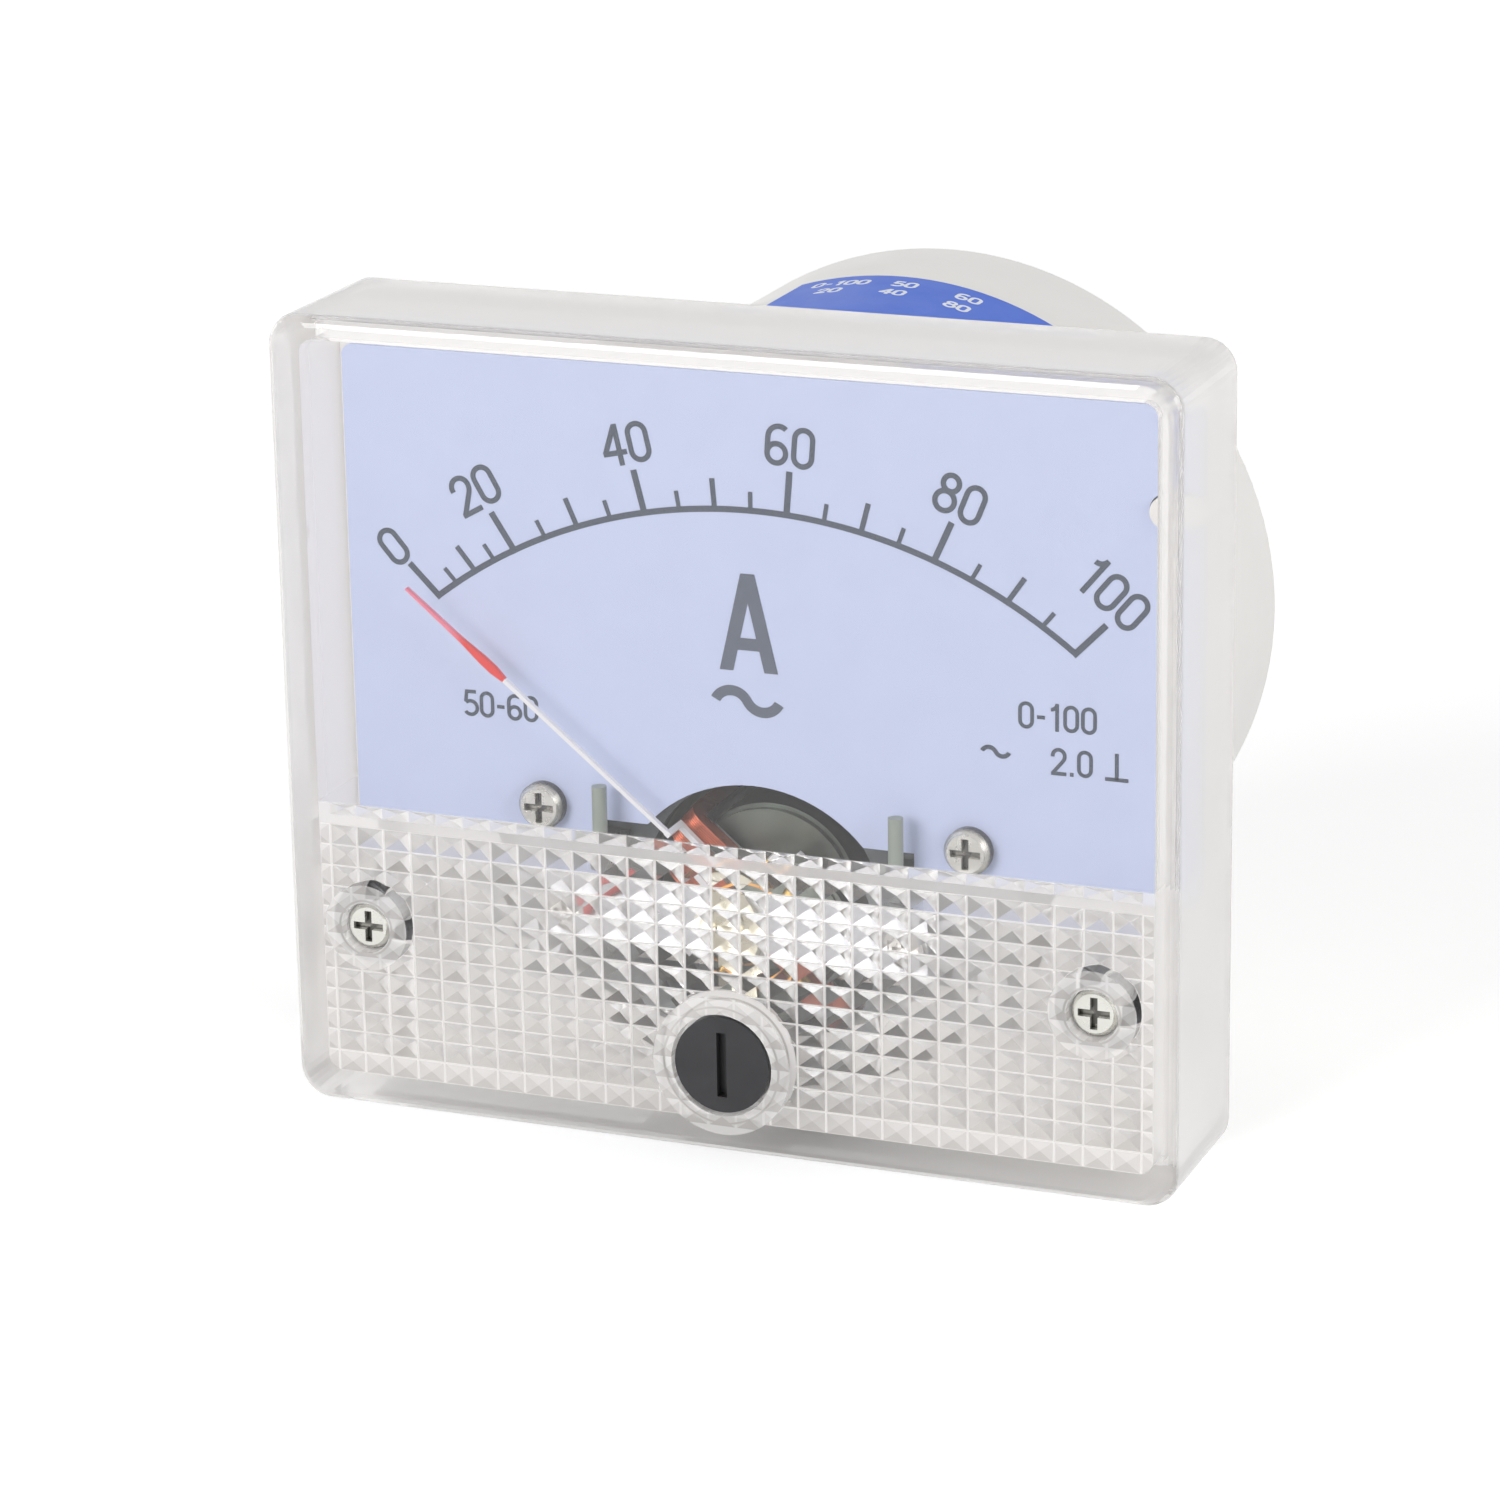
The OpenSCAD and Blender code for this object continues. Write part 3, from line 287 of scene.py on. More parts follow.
def make_machined_group():
    """Machined metal: fine lines along one axis, and handling marks."""
    group, tree, given = new_group(
        "Machined_Metal",
        {"Stretch": ("v", (1.0, 12.0, 1.0)), "Scale": ("f", 700.0),
         "Gloss Low": ("f", 0.2), "Gloss High": ("f", 0.4)},
        {"Roughness": "f", "Height": "f"})
    drawn = tree.add("Mapping", {"Vector": tree.place(), "Scale": given["Stretch"]})
    lines = tree.add("TexNoise", {"Vector": drawn.outputs[0], "Scale": given["Scale"], "Detail": 4.0})
    marks = tree.add("TexNoise", {"Vector": tree.place(), "Scale": 420.0, "Detail": 5.0, "Roughness": 0.7})
    blend = tree.add("Mix", {0: 0.5, 2: lines.outputs["Fac"], 3: marks.outputs["Fac"]})
    gloss = tree.rise(blend.outputs[0], 0.35, 0.65, given["Gloss Low"], given["Gloss High"])
    close_group(tree, {"Roughness": gloss, "Height": lines.outputs["Fac"]})
    return group


def make_patina_group():
    """Patina: a second colour in soft patches and small flecks."""
    group, tree, given = new_group(
        "Patina",
        {"Colour": ("c", WHITE), "Aged": ("c", (0.5, 0.5, 0.5, 1)),
         "Amount": ("f", 0.3), "Scale": ("f", 260.0)},
        {"Colour": "c"})
    patches = tree.add("TexNoise", {"Vector": tree.place(), "Scale": given["Scale"], "Detail": 6.0,
                                    "Roughness": 0.62})
    share = tree.product(tree.rise(patches.outputs["Fac"], 0.42, 0.72), given["Amount"])
    mixed = tree.add("Mix", {0: share, 6: given["Colour"], 7: given["Aged"]}, data_type="RGBA")
    close_group(tree, {"Colour": mixed.outputs[2]})
    return group


def make_turns_group():
    """Wire turns side by side along one coordinate, with painted shade: each turn darkens from its crown into
    the gap between turns.
    """
    group, tree, given = new_group(
        "Wire_Turns",
        {"Along": ("f", 0.0), "Pitch": ("f", 0.2 * MM), "Wire": ("c", WHITE), "Gap": ("c", (0, 0, 0, 1))},
        {"Colour": "c", "Height": "f"})
    wander = tree.add("TexNoise", {"Vector": tree.place(), "Scale": 300.0, "Detail": 2.0})
    shifted = tree.math("MULTIPLY_ADD", wander.outputs["Fac"], 0.06 * MM)
    tree.tree.links.new(given["Along"], shifted.node.inputs[2])
    saw = tree.math("PINGPONG", tree.math("DIVIDE", shifted, given["Pitch"]), 0.5)
    # painted shade: bright at each turn's crown, falling to the gap colour between turns
    crown = tree.math("SQRT", tree.product(saw, 2.0))
    tint = tree.add("TexNoise", {"Vector": tree.place(), "Scale": 1500.0, "Detail": 1.0})
    shade = tree.product(crown, tree.math("ADD", tint.outputs["Fac"], 0.5))
    mixed = tree.add("Mix", {0: shade, 6: given["Gap"], 7: given["Wire"]}, data_type="RGBA")
    close_group(tree, {"Colour": mixed.outputs[2], "Height": crown})
    return group


# Finishes

def paint(red, green, blue):
    def linear(c):
        c = c / 255
        return c / 12.92 if c <= 0.04045 else ((c + 0.055) / 1.055) ** 2.4
    return (linear(red), linear(green), linear(blue), 1)


def new_finish(name):
    material = bpy.data.materials.new(name)
    material.use_nodes = True
    material.node_tree.nodes.clear()
    return material, Tree(material.node_tree)


def raised(tree, height, strength, distance=PEEL_DEPTH):
    return tree.add("Bump", {"Strength": strength, "Distance": distance, "Height": height}).outputs[0]


def close_finish(tree, surface):
    tree.add("OutputMaterial", {"Surface": surface})


def moulded(name, colour, aged, gloss=(0.25, 0.4), amount=0.15, peel=0.06, scale=900.0, **sockets):
    material, tree = new_finish(name)
    skin = tree.use(SKIN, Scale=scale, Gloss_Low=gloss[0], Gloss_High=gloss[1])
    tint = tree.use(PATINA, Colour=colour, Aged=aged, Amount=amount)
    body = tree.add("BsdfPrincipled", {
        "Base Color": tint.outputs[0], "Roughness": skin.outputs["Roughness"],
        "Normal": raised(tree, skin.outputs["Height"], peel)})
    for socket, value in sockets.items():
        body.inputs[socket.replace("_", " ")].default_value = value
    close_finish(tree, body.outputs[0])
    return material


def metal(name, colour, aged, gloss=(0.18, 0.38), amount=0.25, lines=0.12, stretch=(1.0, 12.0, 1.0),
          scale=700.0):
    material, tree = new_finish(name)
    worked = tree.use(MACHINED, Stretch=stretch, Scale=scale, Gloss_Low=gloss[0], Gloss_High=gloss[1])
    tint = tree.use(PATINA, Colour=colour, Aged=aged, Amount=amount)
    body = tree.add("BsdfPrincipled", {
        "Base Color": tint.outputs[0], "Metallic": 1.0, "Roughness": worked.outputs["Roughness"],
        "Normal": raised(tree, worked.outputs["Height"], lines)})
    close_finish(tree, body.outputs[0])
    return material


def opening_radii(tree, off_x, z):
    """How far a place is from a cover screw's axis and from the knob's, each with its boss and hole radii."""
    screw_low, screw_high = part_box("cover_screws")
    knob_low, knob_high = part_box("zero_adjuster")
    screw_x = screw_high.x - (screw_high.z - screw_low.z) / 2
    screw_z, knob_z = (screw_low.z + screw_high.z) / 2, (knob_low.z + knob_high.z) / 2
    yield tree.span(tree.less(off_x, screw_x), tree.less(z, screw_z)), SCREW_BOSS_R, SCREW_HOLE_R
    yield tree.span(tree.less(off_x, 0.0), tree.less(z, knob_z)), KNOB_BOSS_R, KNOB_HOLE_R


def prism_marks(tree):
    """Painted shade on the pyramids' lower and side faces, going on over the smooth bosses and last row, a
    painted dark ring round each opening, and pale valleys.
    """
    x, y, z = tree.place_parts()
    off_x = tree.math("ABSOLUTE", x)
    down = tree.less(PRISM_TOP - PRISM_STRIP, z)
    along = tree.math("FRACT", tree.math("ADD", tree.math("DIVIDE", x, PRISM_W), 0.5))
    across = tree.math("FRACT", tree.math("DIVIDE", down, PRISM_H))
    side = tree.math("ABSOLUTE", tree.less(along, 0.5))
    level = tree.math("ABSOLUTE", tree.less(across, 0.5))
    # painted shade: the lower faces in full and the side faces in part, by which way each face is turned
    lower = tree.product(tree.math("GREATER_THAN", across, 0.5), tree.math("GREATER_THAN", level, side))
    flank = tree.product(tree.math("GREATER_THAN", side, level), FLANK_SHADE)
    valley = tree.rise(tree.most(side, level), VALLEY_START, VALLEY_FULL)
    in_plate = tree.rise(y, WINDOW_BACK + PRISM_DEPTH + SHARP, WINDOW_BACK + PRISM_DEPTH)
    in_rows = tree.product(tree.rise(down, -0.2 * SHARP, 0.0), tree.rise(down, FIELD_H + SHARP, FIELD_H))
    in_rows = tree.product(in_rows, tree.rise(off_x, FIELD_HALF_W + 2 * SHARP, FIELD_HALF_W))
    in_field = tree.product(in_plate, in_rows)
    shade = tree.product(tree.product(tree.most(lower, flank), tree.less(1.0, valley)), in_field)
    # painted shade: a thin dark ring just outside each hole, at the edge of its bore
    for radius, _, hole_r in opening_radii(tree, off_x, z):
        outline = tree.product(tree.rise(radius, hole_r + 0.28 * MM, hole_r + 0.2 * MM),
                               tree.rise(radius, hole_r + 0.06 * MM, hole_r + 0.1 * MM))
        shade = tree.most(shade, outline)
    return shade, tree.product(valley, in_field)


def wall_mask(tree, x, y, z):
    """The cover's outer sides, round its corners too, but not its front."""
    low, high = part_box("cover")
    past_x = tree.most(tree.less(tree.math("ABSOLUTE", x), high.x - COVER_CORNER_R), 0.0)
    past_z = tree.most(tree.less(tree.math("ABSOLUTE", z), high.z - COVER_CORNER_R), 0.0)
    outer = tree.rise(tree.span(past_x, past_z), COVER_CORNER_R - 0.4 * MM, COVER_CORNER_R - 0.1 * MM)
    return tree.product(outer, tree.rise(y, low.y + 0.3 * MM, low.y + 0.9 * MM))


def frost_of(tree, walls, valley):
    """How milky the cover is: its sides most, the pyramids more towards their edges, the window not at all."""
    x, y, z = tree.place_parts()
    inside = tree.rise(y, WINDOW_BACK + 0.8 * MM, WINDOW_BACK + 1.6 * MM)
    frost = tree.most(tree.product(walls, WALL_FROST), tree.product(inside, INNER_FROST))
    from_middle = tree.span(tree.less(x, FIELD_CENTRE[0]), tree.less(z, FIELD_CENTRE[1]))
    fade = tree.rise(from_middle, CLEAR_R, MILKY_R, PRISM_FROST, PRISM_EDGE_FROST)
    rows_top = PRISM_TOP - PRISM_STRIP
    strip = tree.product(tree.rise(z, rows_top - 0.4 * SHARP, rows_top),
                         tree.rise(z, rows_top + SMOOTH_STRIP + 0.4 * SHARP, rows_top + SMOOTH_STRIP))
    fade = tree.most(fade, tree.product(strip, PRISM_EDGE_FROST))
    fade = tree.most(fade, tree.product(valley, VALLEY_FROST))
    below_top = tree.rise(z, PRISM_TOP + 2 * SHARP, PRISM_TOP)
    prisms = tree.product(below_top, tree.rise(y, WINDOW_BACK - 2 * SHARP, WINDOW_BACK))
    frost = tree.most(frost, tree.product(prisms, fade))
    for radius, boss_r, _ in opening_radii(tree, tree.math("ABSOLUTE", x), z):
        boss = tree.rise(radius, boss_r + SHARP, boss_r)
        depth = tree.rise(y, WINDOW_BACK - 1.5 * MM, WINDOW_BACK, BOSS_FROST, BOSS_END_FROST)
        frost = tree.most(frost, tree.product(boss, depth))
    return frost


def clear_styrene():
    """Clear plastic with a milky veil where the frost says so; lamps shine through it to what is inside."""
    material, tree = new_finish("Clear_Styrene")
    skin = tree.use(SKIN, Scale=500.0, Gloss_Low=0.0, Gloss_High=0.03)
    glass = tree.add("BsdfPrincipled", {
        "Base Color": paint(253, 251, 250), "Roughness": skin.outputs["Roughness"], "IOR": STYRENE_IOR,
        "Transmission Weight": 1.0, "Normal": raised(tree, skin.outputs["Height"], 0.02)})
    tint = tree.use(PATINA, Colour=paint(252, 250, 248), Aged=paint(246, 242, 240), Amount=0.5)
    walls = wall_mask(tree, *tree.place_parts())
    shade, valley = prism_marks(tree)
    # painted shade: the cover's outer sides are greyer than its front
    painted_wall_shade = tree.add("Mix", {0: walls, 6: tint.outputs[0], 7: paint(232, 230, 229)}, data_type="RGBA")
    # painted shade: the pyramids' darker faces and the rings round the openings
    shaded_veil_colour = tree.add("Mix", {0: shade, 6: painted_wall_shade.outputs[2], 7: paint(200, 196, 192)}, data_type="RGBA")
    milky = tree.add("BsdfPrincipled", {"Base Color": shaded_veil_colour.outputs[2], "Roughness": 0.22, "IOR": STYRENE_IOR})
    through = tree.add("BsdfTranslucent", {"Color": tint.outputs[0]})
    veil = tree.add("MixShader", {0: 0.08, 1: milky.outputs[0], 2: through.outputs[0]})
    frost = frost_of(tree, walls, valley)
    plastic = tree.add("MixShader", {0: frost, 1: glass.outputs[0], 2: veil.outputs[0]})
    clear = tree.add("BsdfTransparent", {"Color": (0.97, 0.97, 0.97, 1)})
    path = tree.add("LightPath")
    let_by = tree.most(path.outputs["Is Shadow Ray"], path.outputs["Is Diffuse Ray"])
    mixed = tree.add("MixShader", {0: let_by, 1: plastic.outputs[0], 2: clear.outputs[0]})
    close_finish(tree, mixed.outputs[0])
    return material


def cross_head(name, node, colour, aged):
    """Bright screw heads; the cross in them is painted dark below its rim, as shade in the recess."""
    material, tree = new_finish(name)
    worked = tree.use(MACHINED, Gloss_Low=0.2, Gloss_High=0.36)
    tint = tree.use(PATINA, Colour=colour, Aged=aged, Amount=0.3)
    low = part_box(node)[0]
    # painted shade: darker the deeper a place lies below the head's front
    shade = tree.product(tree.rise(tree.less(tree.place_parts()[1], low.y), 0.22 * MM, 0.5 * MM), 0.85)
    tone = tree.add("Mix", {0: shade, 6: tint.outputs[0], 7: paint(40, 38, 38)}, data_type="RGBA")
    body = tree.add("BsdfPrincipled", {
        "Base Color": tone.outputs[2], "Metallic": 0.85, "Roughness": worked.outputs["Roughness"],
        "Normal": raised(tree, worked.outputs["Height"], 0.1)})
    close_finish(tree, body.outputs[0])
    return material


def ruby():
    material, tree = new_finish("Synthetic_Ruby")
    skin = tree.use(SKIN, Scale=2000.0, Gloss_Low=0.02, Gloss_High=0.08)
    tint = tree.use(PATINA, Colour=paint(196, 40, 92), Aged=paint(120, 12, 50), Amount=0.6)
    stone = tree.add("BsdfPrincipled", {
        "Base Color": tint.outputs[0], "Roughness": skin.outputs["Roughness"], "IOR": 1.76,
        "Coat Weight": 0.4})
    close_finish(tree, stone.outputs[0])
    return material


def pointer_enamel():
    """White, with a red lance whose last few millimetres fade to pink."""
    material, tree = new_finish("Pointer_Enamel")
    skin = tree.use(SKIN, Scale=2500.0, Gloss_Low=0.3, Gloss_High=0.45)
    offset = tree.add("VectorMath", {0: tree.place(), 1: tuple(pivot)}, operation="SUBTRACT")
    flat = tree.add("VectorMath", {0: offset.outputs[0], 1: (1, 0, 1)}, operation="MULTIPLY")
    reach = tree.add("VectorMath", {0: flat.outputs[0]}, operation="LENGTH").outputs["Value"]
    low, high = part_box("pointer")
    tip_reach = math.hypot(low.x - pivot.x, high.z - pivot.z)
    red = tree.math("GREATER_THAN", reach, tip_reach - LANCE_L)
    tip = tree.rise(reach, tip_reach - 5.6 * MM, tip_reach - 4.2 * MM)
    lance = tree.add("Mix", {0: tip, 6: paint(228, 58, 50), 7: paint(238, 128, 146)}, data_type="RGBA")
    tone = tree.add("Mix", {0: red, 6: paint(236, 236, 240), 7: lance.outputs[2]}, data_type="RGBA")
    body = tree.add("BsdfPrincipled", {
        "Base Color": tone.outputs[2], "Roughness": skin.outputs["Roughness"],
        "Normal": raised(tree, skin.outputs["Height"], 0.1, 0.03 * MM)})
    close_finish(tree, body.outputs[0])
    return material


def winding_wire(name, pitch, wire, gap_shade, turn=0.0, axis="Z"):
    """Enamelled wire. The turns lie side by side along the axis, turned about Y."""
    material, tree = new_finish(name)
    turned = tree.add("Mapping", {"Vector": tree.place(), "Rotation": (0, turn, 0)})
    along = tree.add("SeparateXYZ", {0: turned.outputs[0]}).outputs[axis]
    turns = tree.use(TURNS, Along=along, Pitch=pitch, Wire=wire, Gap=gap_shade)
    skin = tree.use(SKIN, Scale=1200.0, Gloss_Low=0.18, Gloss_High=0.35)
    body = tree.add("BsdfPrincipled", {
        "Base Color": turns.outputs["Colour"], "Metallic": 0.55, "Roughness": skin.outputs["Roughness"],
        "Coat Weight": 0.3, "Coat Roughness": 0.1,
        "Normal": raised(tree, turns.outputs["Height"], 0.7, 0.06 * MM)})
    close_finish(tree, body.outputs[0])
    return material


def resistor_lacquer():
    """Cream lacquer with four colour bands."""
    material, tree = new_finish("Resistor_Lacquer")
    skin = tree.use(SKIN, Scale=1500.0, Gloss_Low=0.2, Gloss_High=0.35)
    low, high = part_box("resistor")
    middle = (low.x + high.x) / 2
    across = tree.place_parts()[0]
    tone = paint(222, 196, 158)
    for band, colour in ((-1.7, paint(120, 66, 30)), (-0.8, paint(30, 28, 28)),
                         (0.1, paint(206, 60, 40)), (1.5, paint(190, 150, 60))):
        from_band = tree.math("ABSOLUTE", tree.less(across, middle + band * MM))
        inside = tree.math("LESS_THAN", from_band, BAND_HALF_W)
        tone = tree.add("Mix", {0: inside, 6: tone, 7: colour}, data_type="RGBA").outputs[2]
    body = tree.add("BsdfPrincipled", {
        "Base Color": tone, "Roughness": skin.outputs["Roughness"], "Coat Weight": 0.4,
        "Normal": raised(tree, skin.outputs["Height"], 0.1)})
    close_finish(tree, body.outputs[0])
    return material


def label_film():
    material, tree = new_finish("Label_Film")
    skin = tree.use(SKIN, Scale=700.0, Gloss_Low=0.42, Gloss_High=0.55)
    tint = tree.use(PATINA, Colour=paint(66, 108, 214), Aged=paint(84, 124, 222), Amount=0.5)
    body = tree.add("BsdfPrincipled", {
        "Base Color": tint.outputs[0], "Roughness": skin.outputs["Roughness"], "Specular IOR Level": 0.3,
        "Normal": raised(tree, skin.outputs["Height"], 0.05)})
    close_finish(tree, body.outputs[0])
    return material


SKIN = make_skin_group()
MACHINED = make_machined_group()
PATINA = make_patina_group()
TURNS = make_turns_group()

ink = moulded("Dial_Ink", paint(62, 72, 88), paint(78, 88, 104), gloss=(0.45, 0.6), scale=2500.0)
grey_ink = moulded("Letter_Ink", paint(84, 92, 108), paint(98, 106, 120), gloss=(0.45, 0.6), scale=2500.0)
label_white = moulded("Label_White_Ink", paint(232, 236, 244), paint(214, 220, 232), gloss=(0.4, 0.5))
white_abs = moulded("White_Moulding", paint(236, 234, 231), paint(226, 223, 219), gloss=(0.28, 0.4),
                    Subsurface_Weight=0.12, Subsurface_Radius=(0.0008, 0.0007, 0.0006), Subsurface_Scale=1.0)
dial_paint = moulded("Dial_Enamel", paint(198, 208, 239), paint(191, 201, 232), gloss=(0.4, 0.55),
                     amount=0.4, peel=0.05, scale=1400.0)
black_knob = moulded("Black_Knob", paint(38, 38, 40), paint(58, 58, 60), gloss=(0.3, 0.5), amount=0.4,
                     peel=0.12)
nickel = metal("Bright_Nickel", paint(208, 206, 202), paint(150, 146, 140))
zinc = metal("Zinc_Plate", paint(196, 197, 200), paint(140, 142, 148), gloss=(0.28, 0.48), amount=0.35)
brass = metal("Turned_Brass", paint(214, 178, 104), paint(150, 116, 60))
nickel_silver = metal("Nickel_Silver", paint(204, 200, 184), paint(160, 152, 130))
spring_bronze = metal("Spring_Bronze", paint(200, 148, 84), paint(140, 92, 50), gloss=(0.2, 0.35))
light_alloy = metal("Light_Alloy", paint(206, 208, 212), paint(160, 164, 170), gloss=(0.25, 0.45))
dark_metal = metal("Dark_Frame", paint(92, 96, 98), paint(54, 58, 60), gloss=(0.35, 0.55), amount=0.5)
magnet_alloy = metal("Magnet_Alloy", paint(104, 110, 104), paint(62, 66, 62), gloss=(0.3, 0.55), amount=0.6)
soft_iron = metal("Soft_Iron", paint(158, 166, 160), paint(92, 100, 96), gloss=(0.3, 0.5), amount=0.5)
sleeve = moulded("Stop_Sleeve", paint(150, 158, 150), paint(120, 128, 118), gloss=(0.35, 0.5), peel=0.1)
laminate = moulded("Board_Laminate", paint(176, 150, 96), paint(150, 122, 72), gloss=(0.35, 0.5), amount=0.5)
black_epoxy = moulded("Black_Epoxy", paint(30, 30, 32), paint(50, 50, 52), gloss=(0.3, 0.45), amount=0.3)
bobbin_nylon = moulded("Bobbin_Nylon", paint(226, 220, 200), paint(206, 198, 176), gloss=(0.3, 0.45))
red_sleeving = moulded("Red_Sleeving", paint(196, 34, 34), paint(150, 22, 22), gloss=(0.3, 0.45), amount=0.4)
copper_fine = winding_wire("Copper_Fine_Wire", 0.16 * MM, paint(216, 110, 74), paint(96, 38, 22),
                           turn=math.radians(49.8), axis="X")
copper_secondary = winding_wire("Copper_Secondary", 0.22 * MM, paint(206, 112, 62), paint(90, 40, 20))
copper_primary = winding_wire("Copper_Primary", 0.9 * MM, paint(214, 122, 66), paint(96, 44, 22))

FINISH_OF = {
    "cover": clear_styrene(), "base": white_abs, "label": label_film(), "dial": dial_paint,
    "dial_screws": cross_head(
        "Dial_Screw_Nickel", "dial_screws", paint(216, 215, 208), paint(160, 160, 150)),
    "cover_screws": cross_head(
        "Cover_Screw_Nickel", "cover_screws", paint(222, 221, 214), paint(168, 168, 158)),
    "mounting_studs": zinc, "zero_adjuster": black_knob, "adjuster_clip": zinc,
    "zero_lever": nickel_silver, "front_hairspring": spring_bronze, "front_bridge": light_alloy,
    "bridge_screws": nickel, "jewel_screws": nickel_silver, "jewels": ruby(), "lock_nuts": nickel_silver,
    "movement_frame": dark_metal, "frame_screws": zinc, "yoke_ring": soft_iron, "yoke_screws": zinc,
    "magnet_core": magnet_alloy, "core_straps": nickel, "rear_bridge": light_alloy,
    "rear_bridge_screws": nickel, "rear_hairspring": spring_bronze, "coil_former": light_alloy,
    "coil_winding": copper_fine, "spindles": nickel, "pointer": pointer_enamel(), "balance_weights": brass,
    "stop_brackets": dark_metal, "stop_sleeves": sleeve, "circuit_board": laminate, "diodes": black_epoxy,
    "resistor": resistor_lacquer(), "transformer_core": magnet_alloy, "transformer_bobbin": bobbin_nylon,
    "secondary_winding": copper_secondary, "primary_winding": copper_primary,
    "primary_leads": copper_primary, "movement_leads": red_sleeving, "solder_lugs": zinc,
    "terminal_studs": brass, "terminal_washers": zinc, "terminal_nuts": zinc,
}


def finish_frame():
    for node, material in FINISH_OF.items():
        mesh = frame["nodes"][node].data
        mesh.materials.clear()
        mesh.materials.append(material)


# New pieces

INK_T = 0.03 * MM
ink_y = dial_low.y - INK_T / 2

# The scale's arc, the point its marks fan out from, and the pointer's angle in degrees at each reading
ARC_CENTRE = Vector((0, ink_y, -22.1 * MM))
ARC_R = 37.4 * MM
ARC_W = 0.42 * MM
FAN_CENTRE = Vector((0, ink_y, -15.5 * MM))
SCALE_ANGLES = {0: -37.9, 20: -27.4, 40: -11.65, 60: 4.1, 80: 20.4, 100: 37.6}

# A mark's length and width in millimetres, for each step of the scale
MARKS = {20: (3.0, 0.44), 10: (2.1, 0.36), 5: (1.3, 0.3)}
NUMERAL_PLACES = {0: (-26.3, 10.6), 20: (-20.0, 15.1), 40: (-8.8, 19.2), 60: (3.0, 19.9), 80: (14.9, 17.3),
                  100: (25.4, 11.8)}
NUMERAL_LEAN = 0.9

# Each figure's advance and strokes; a stroke is its start, its heading in degrees and its moves
FIGURE_H = 2.9
FIGURES = {
    "0": (1.87, [(0.64, -0.6, 0, [(1.2,), (0.64, -180), (1.2,), (0.64, -180)])]),
    "1": (1.6, [(0.25, -1.44, 0, [(2.88,)]), (-0.4, 0.82, 90, [(0.65, -90)])]),
    "2": (1.87, [(-0.64, 0.5, 0, [(0.12,), (0.64, 180), (0.9, 40), (1.63,)]), (-0.8, -1.26, 90, [(1.6,)])]),
    "4": (1.87, [(0.36, -1.44, 0, [(2.88,)]), (-0.84, -0.54, 90, [(1.74,)]),
                 (-0.72, -0.56, 28.8, [(2.14,)])]),
    "5": (1.87, [(-0.5, 1.26, 90, [(1.12,)]), (-0.42, 1.4, 186.5, [(1.3,)]),
                 (-0.53, 0.02, 45, [(0.74, 280)])]),
    "6": (1.87, [(0.66, -0.6, 0, [(0.66, -360)]), (-0.66, -0.7, 0, [(1.2,), (0.76, 130)])]),
    "8": (1.87, [(0.56, 0.7, 0, [(0.56, -360)]), (0.68, -0.58, 0, [(0.68, -360)])]),
    "-": (1.3, [(-0.42, -0.1, 90, [(0.84,)])]),
    ".": (0.9, [(0, -1.44, 0, [(0.4,)])]),
}
SMALL_H, SMALL_W = 1.9, 0.25

# Threads, nuts and the red lead
THREAD_DEPTH = 0.6134
THREAD_STEPS = 24
NUT_T = 2.6 * MM
HEX_CORNER = math.cos(math.pi / 6)
LEAD_R = 0.3 * MM
LEAD_START = (-11.05 * MM, -12.4 * MM)
LEAD_BEND_R = 5 * MM

def finished(bm, name, body, material, sharp=35):
    bmesh.ops.remove_doubles(bm, verts=bm.verts, dist=0.5e-6)
    bmesh.ops.recalc_face_normals(bm, faces=bm.faces)
    for face in bm.faces:
        face.smooth = True
    mesh = bpy.data.meshes.new(name)
    bm.to_mesh(mesh)
    bm.free()
    mesh.set_sharp_from_angle(angle=math.radians(sharp))
    mesh.materials.append(material)
    piece = bpy.data.objects.new(name, mesh)
    scene.collection.objects.link(piece)
    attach(piece, body)
    return piece


def scale_angle(reading):
    low = min(reading // 20 * 20, 80)
    share = (reading - low) / 20
    return math.radians(SCALE_ANGLES[low] + share * (SCALE_ANGLES[low + 20] - SCALE_ANGLES[low]))


def on_arc(reading, radius=ARC_R):
    angle = scale_angle(reading)
    return ARC_CENTRE + radius * Vector((math.sin(angle), 0, math.cos(angle)))


def new_faces(made):
    return list({f for v in made["verts"] for f in v.link_faces})


def sweep(bm, section, centre, angle, steps, axis=ACROSS_Y, step=(0, 0, 0)):
    """Carries a section on, round an axis or straight ahead by the step, and gives back its last place."""
    made = bmesh.ops.spin(bm, geom=section, cent=centre, axis=axis, dvec=step, angle=angle, steps=steps)
    return [f for f in made["geom_last"] if isinstance(f, bmesh.types.BMFace)]


def flat_section(bm, place, tilt, width, depth):
    flat = Matrix.Translation(place) @ tilt @ Matrix.Diagonal((width, depth, 1, 1))
    return new_faces(bmesh.ops.create_grid(bm, x_segments=1, y_segments=1, size=0.5, matrix=flat))


def bar(bm, start, direction, length, width, depth=INK_T):
    tilt = math.atan2(direction.x, direction.z)
    middle = start + direction.normalized() * length / 2
    size = Matrix.Diagonal((width, depth, length, 1))
    bmesh.ops.create_cube(bm, size=1, matrix=Matrix.Translation(middle) @ Matrix.Rotation(tilt, 4, "Y") @ size)


def bent_bar(bm, start, heading, bends, width, depth=INK_T):
    """A bar that starts square to its heading and follows each bend: a centre, an angle and its steps."""
    tilt = Matrix.Rotation(math.atan2(heading.x, heading.z), 4, "Y")
    section = flat_section(bm, start, tilt, width, depth)
    for centre, angle, steps in bends:
        section = sweep(bm, section, centre, angle, steps)


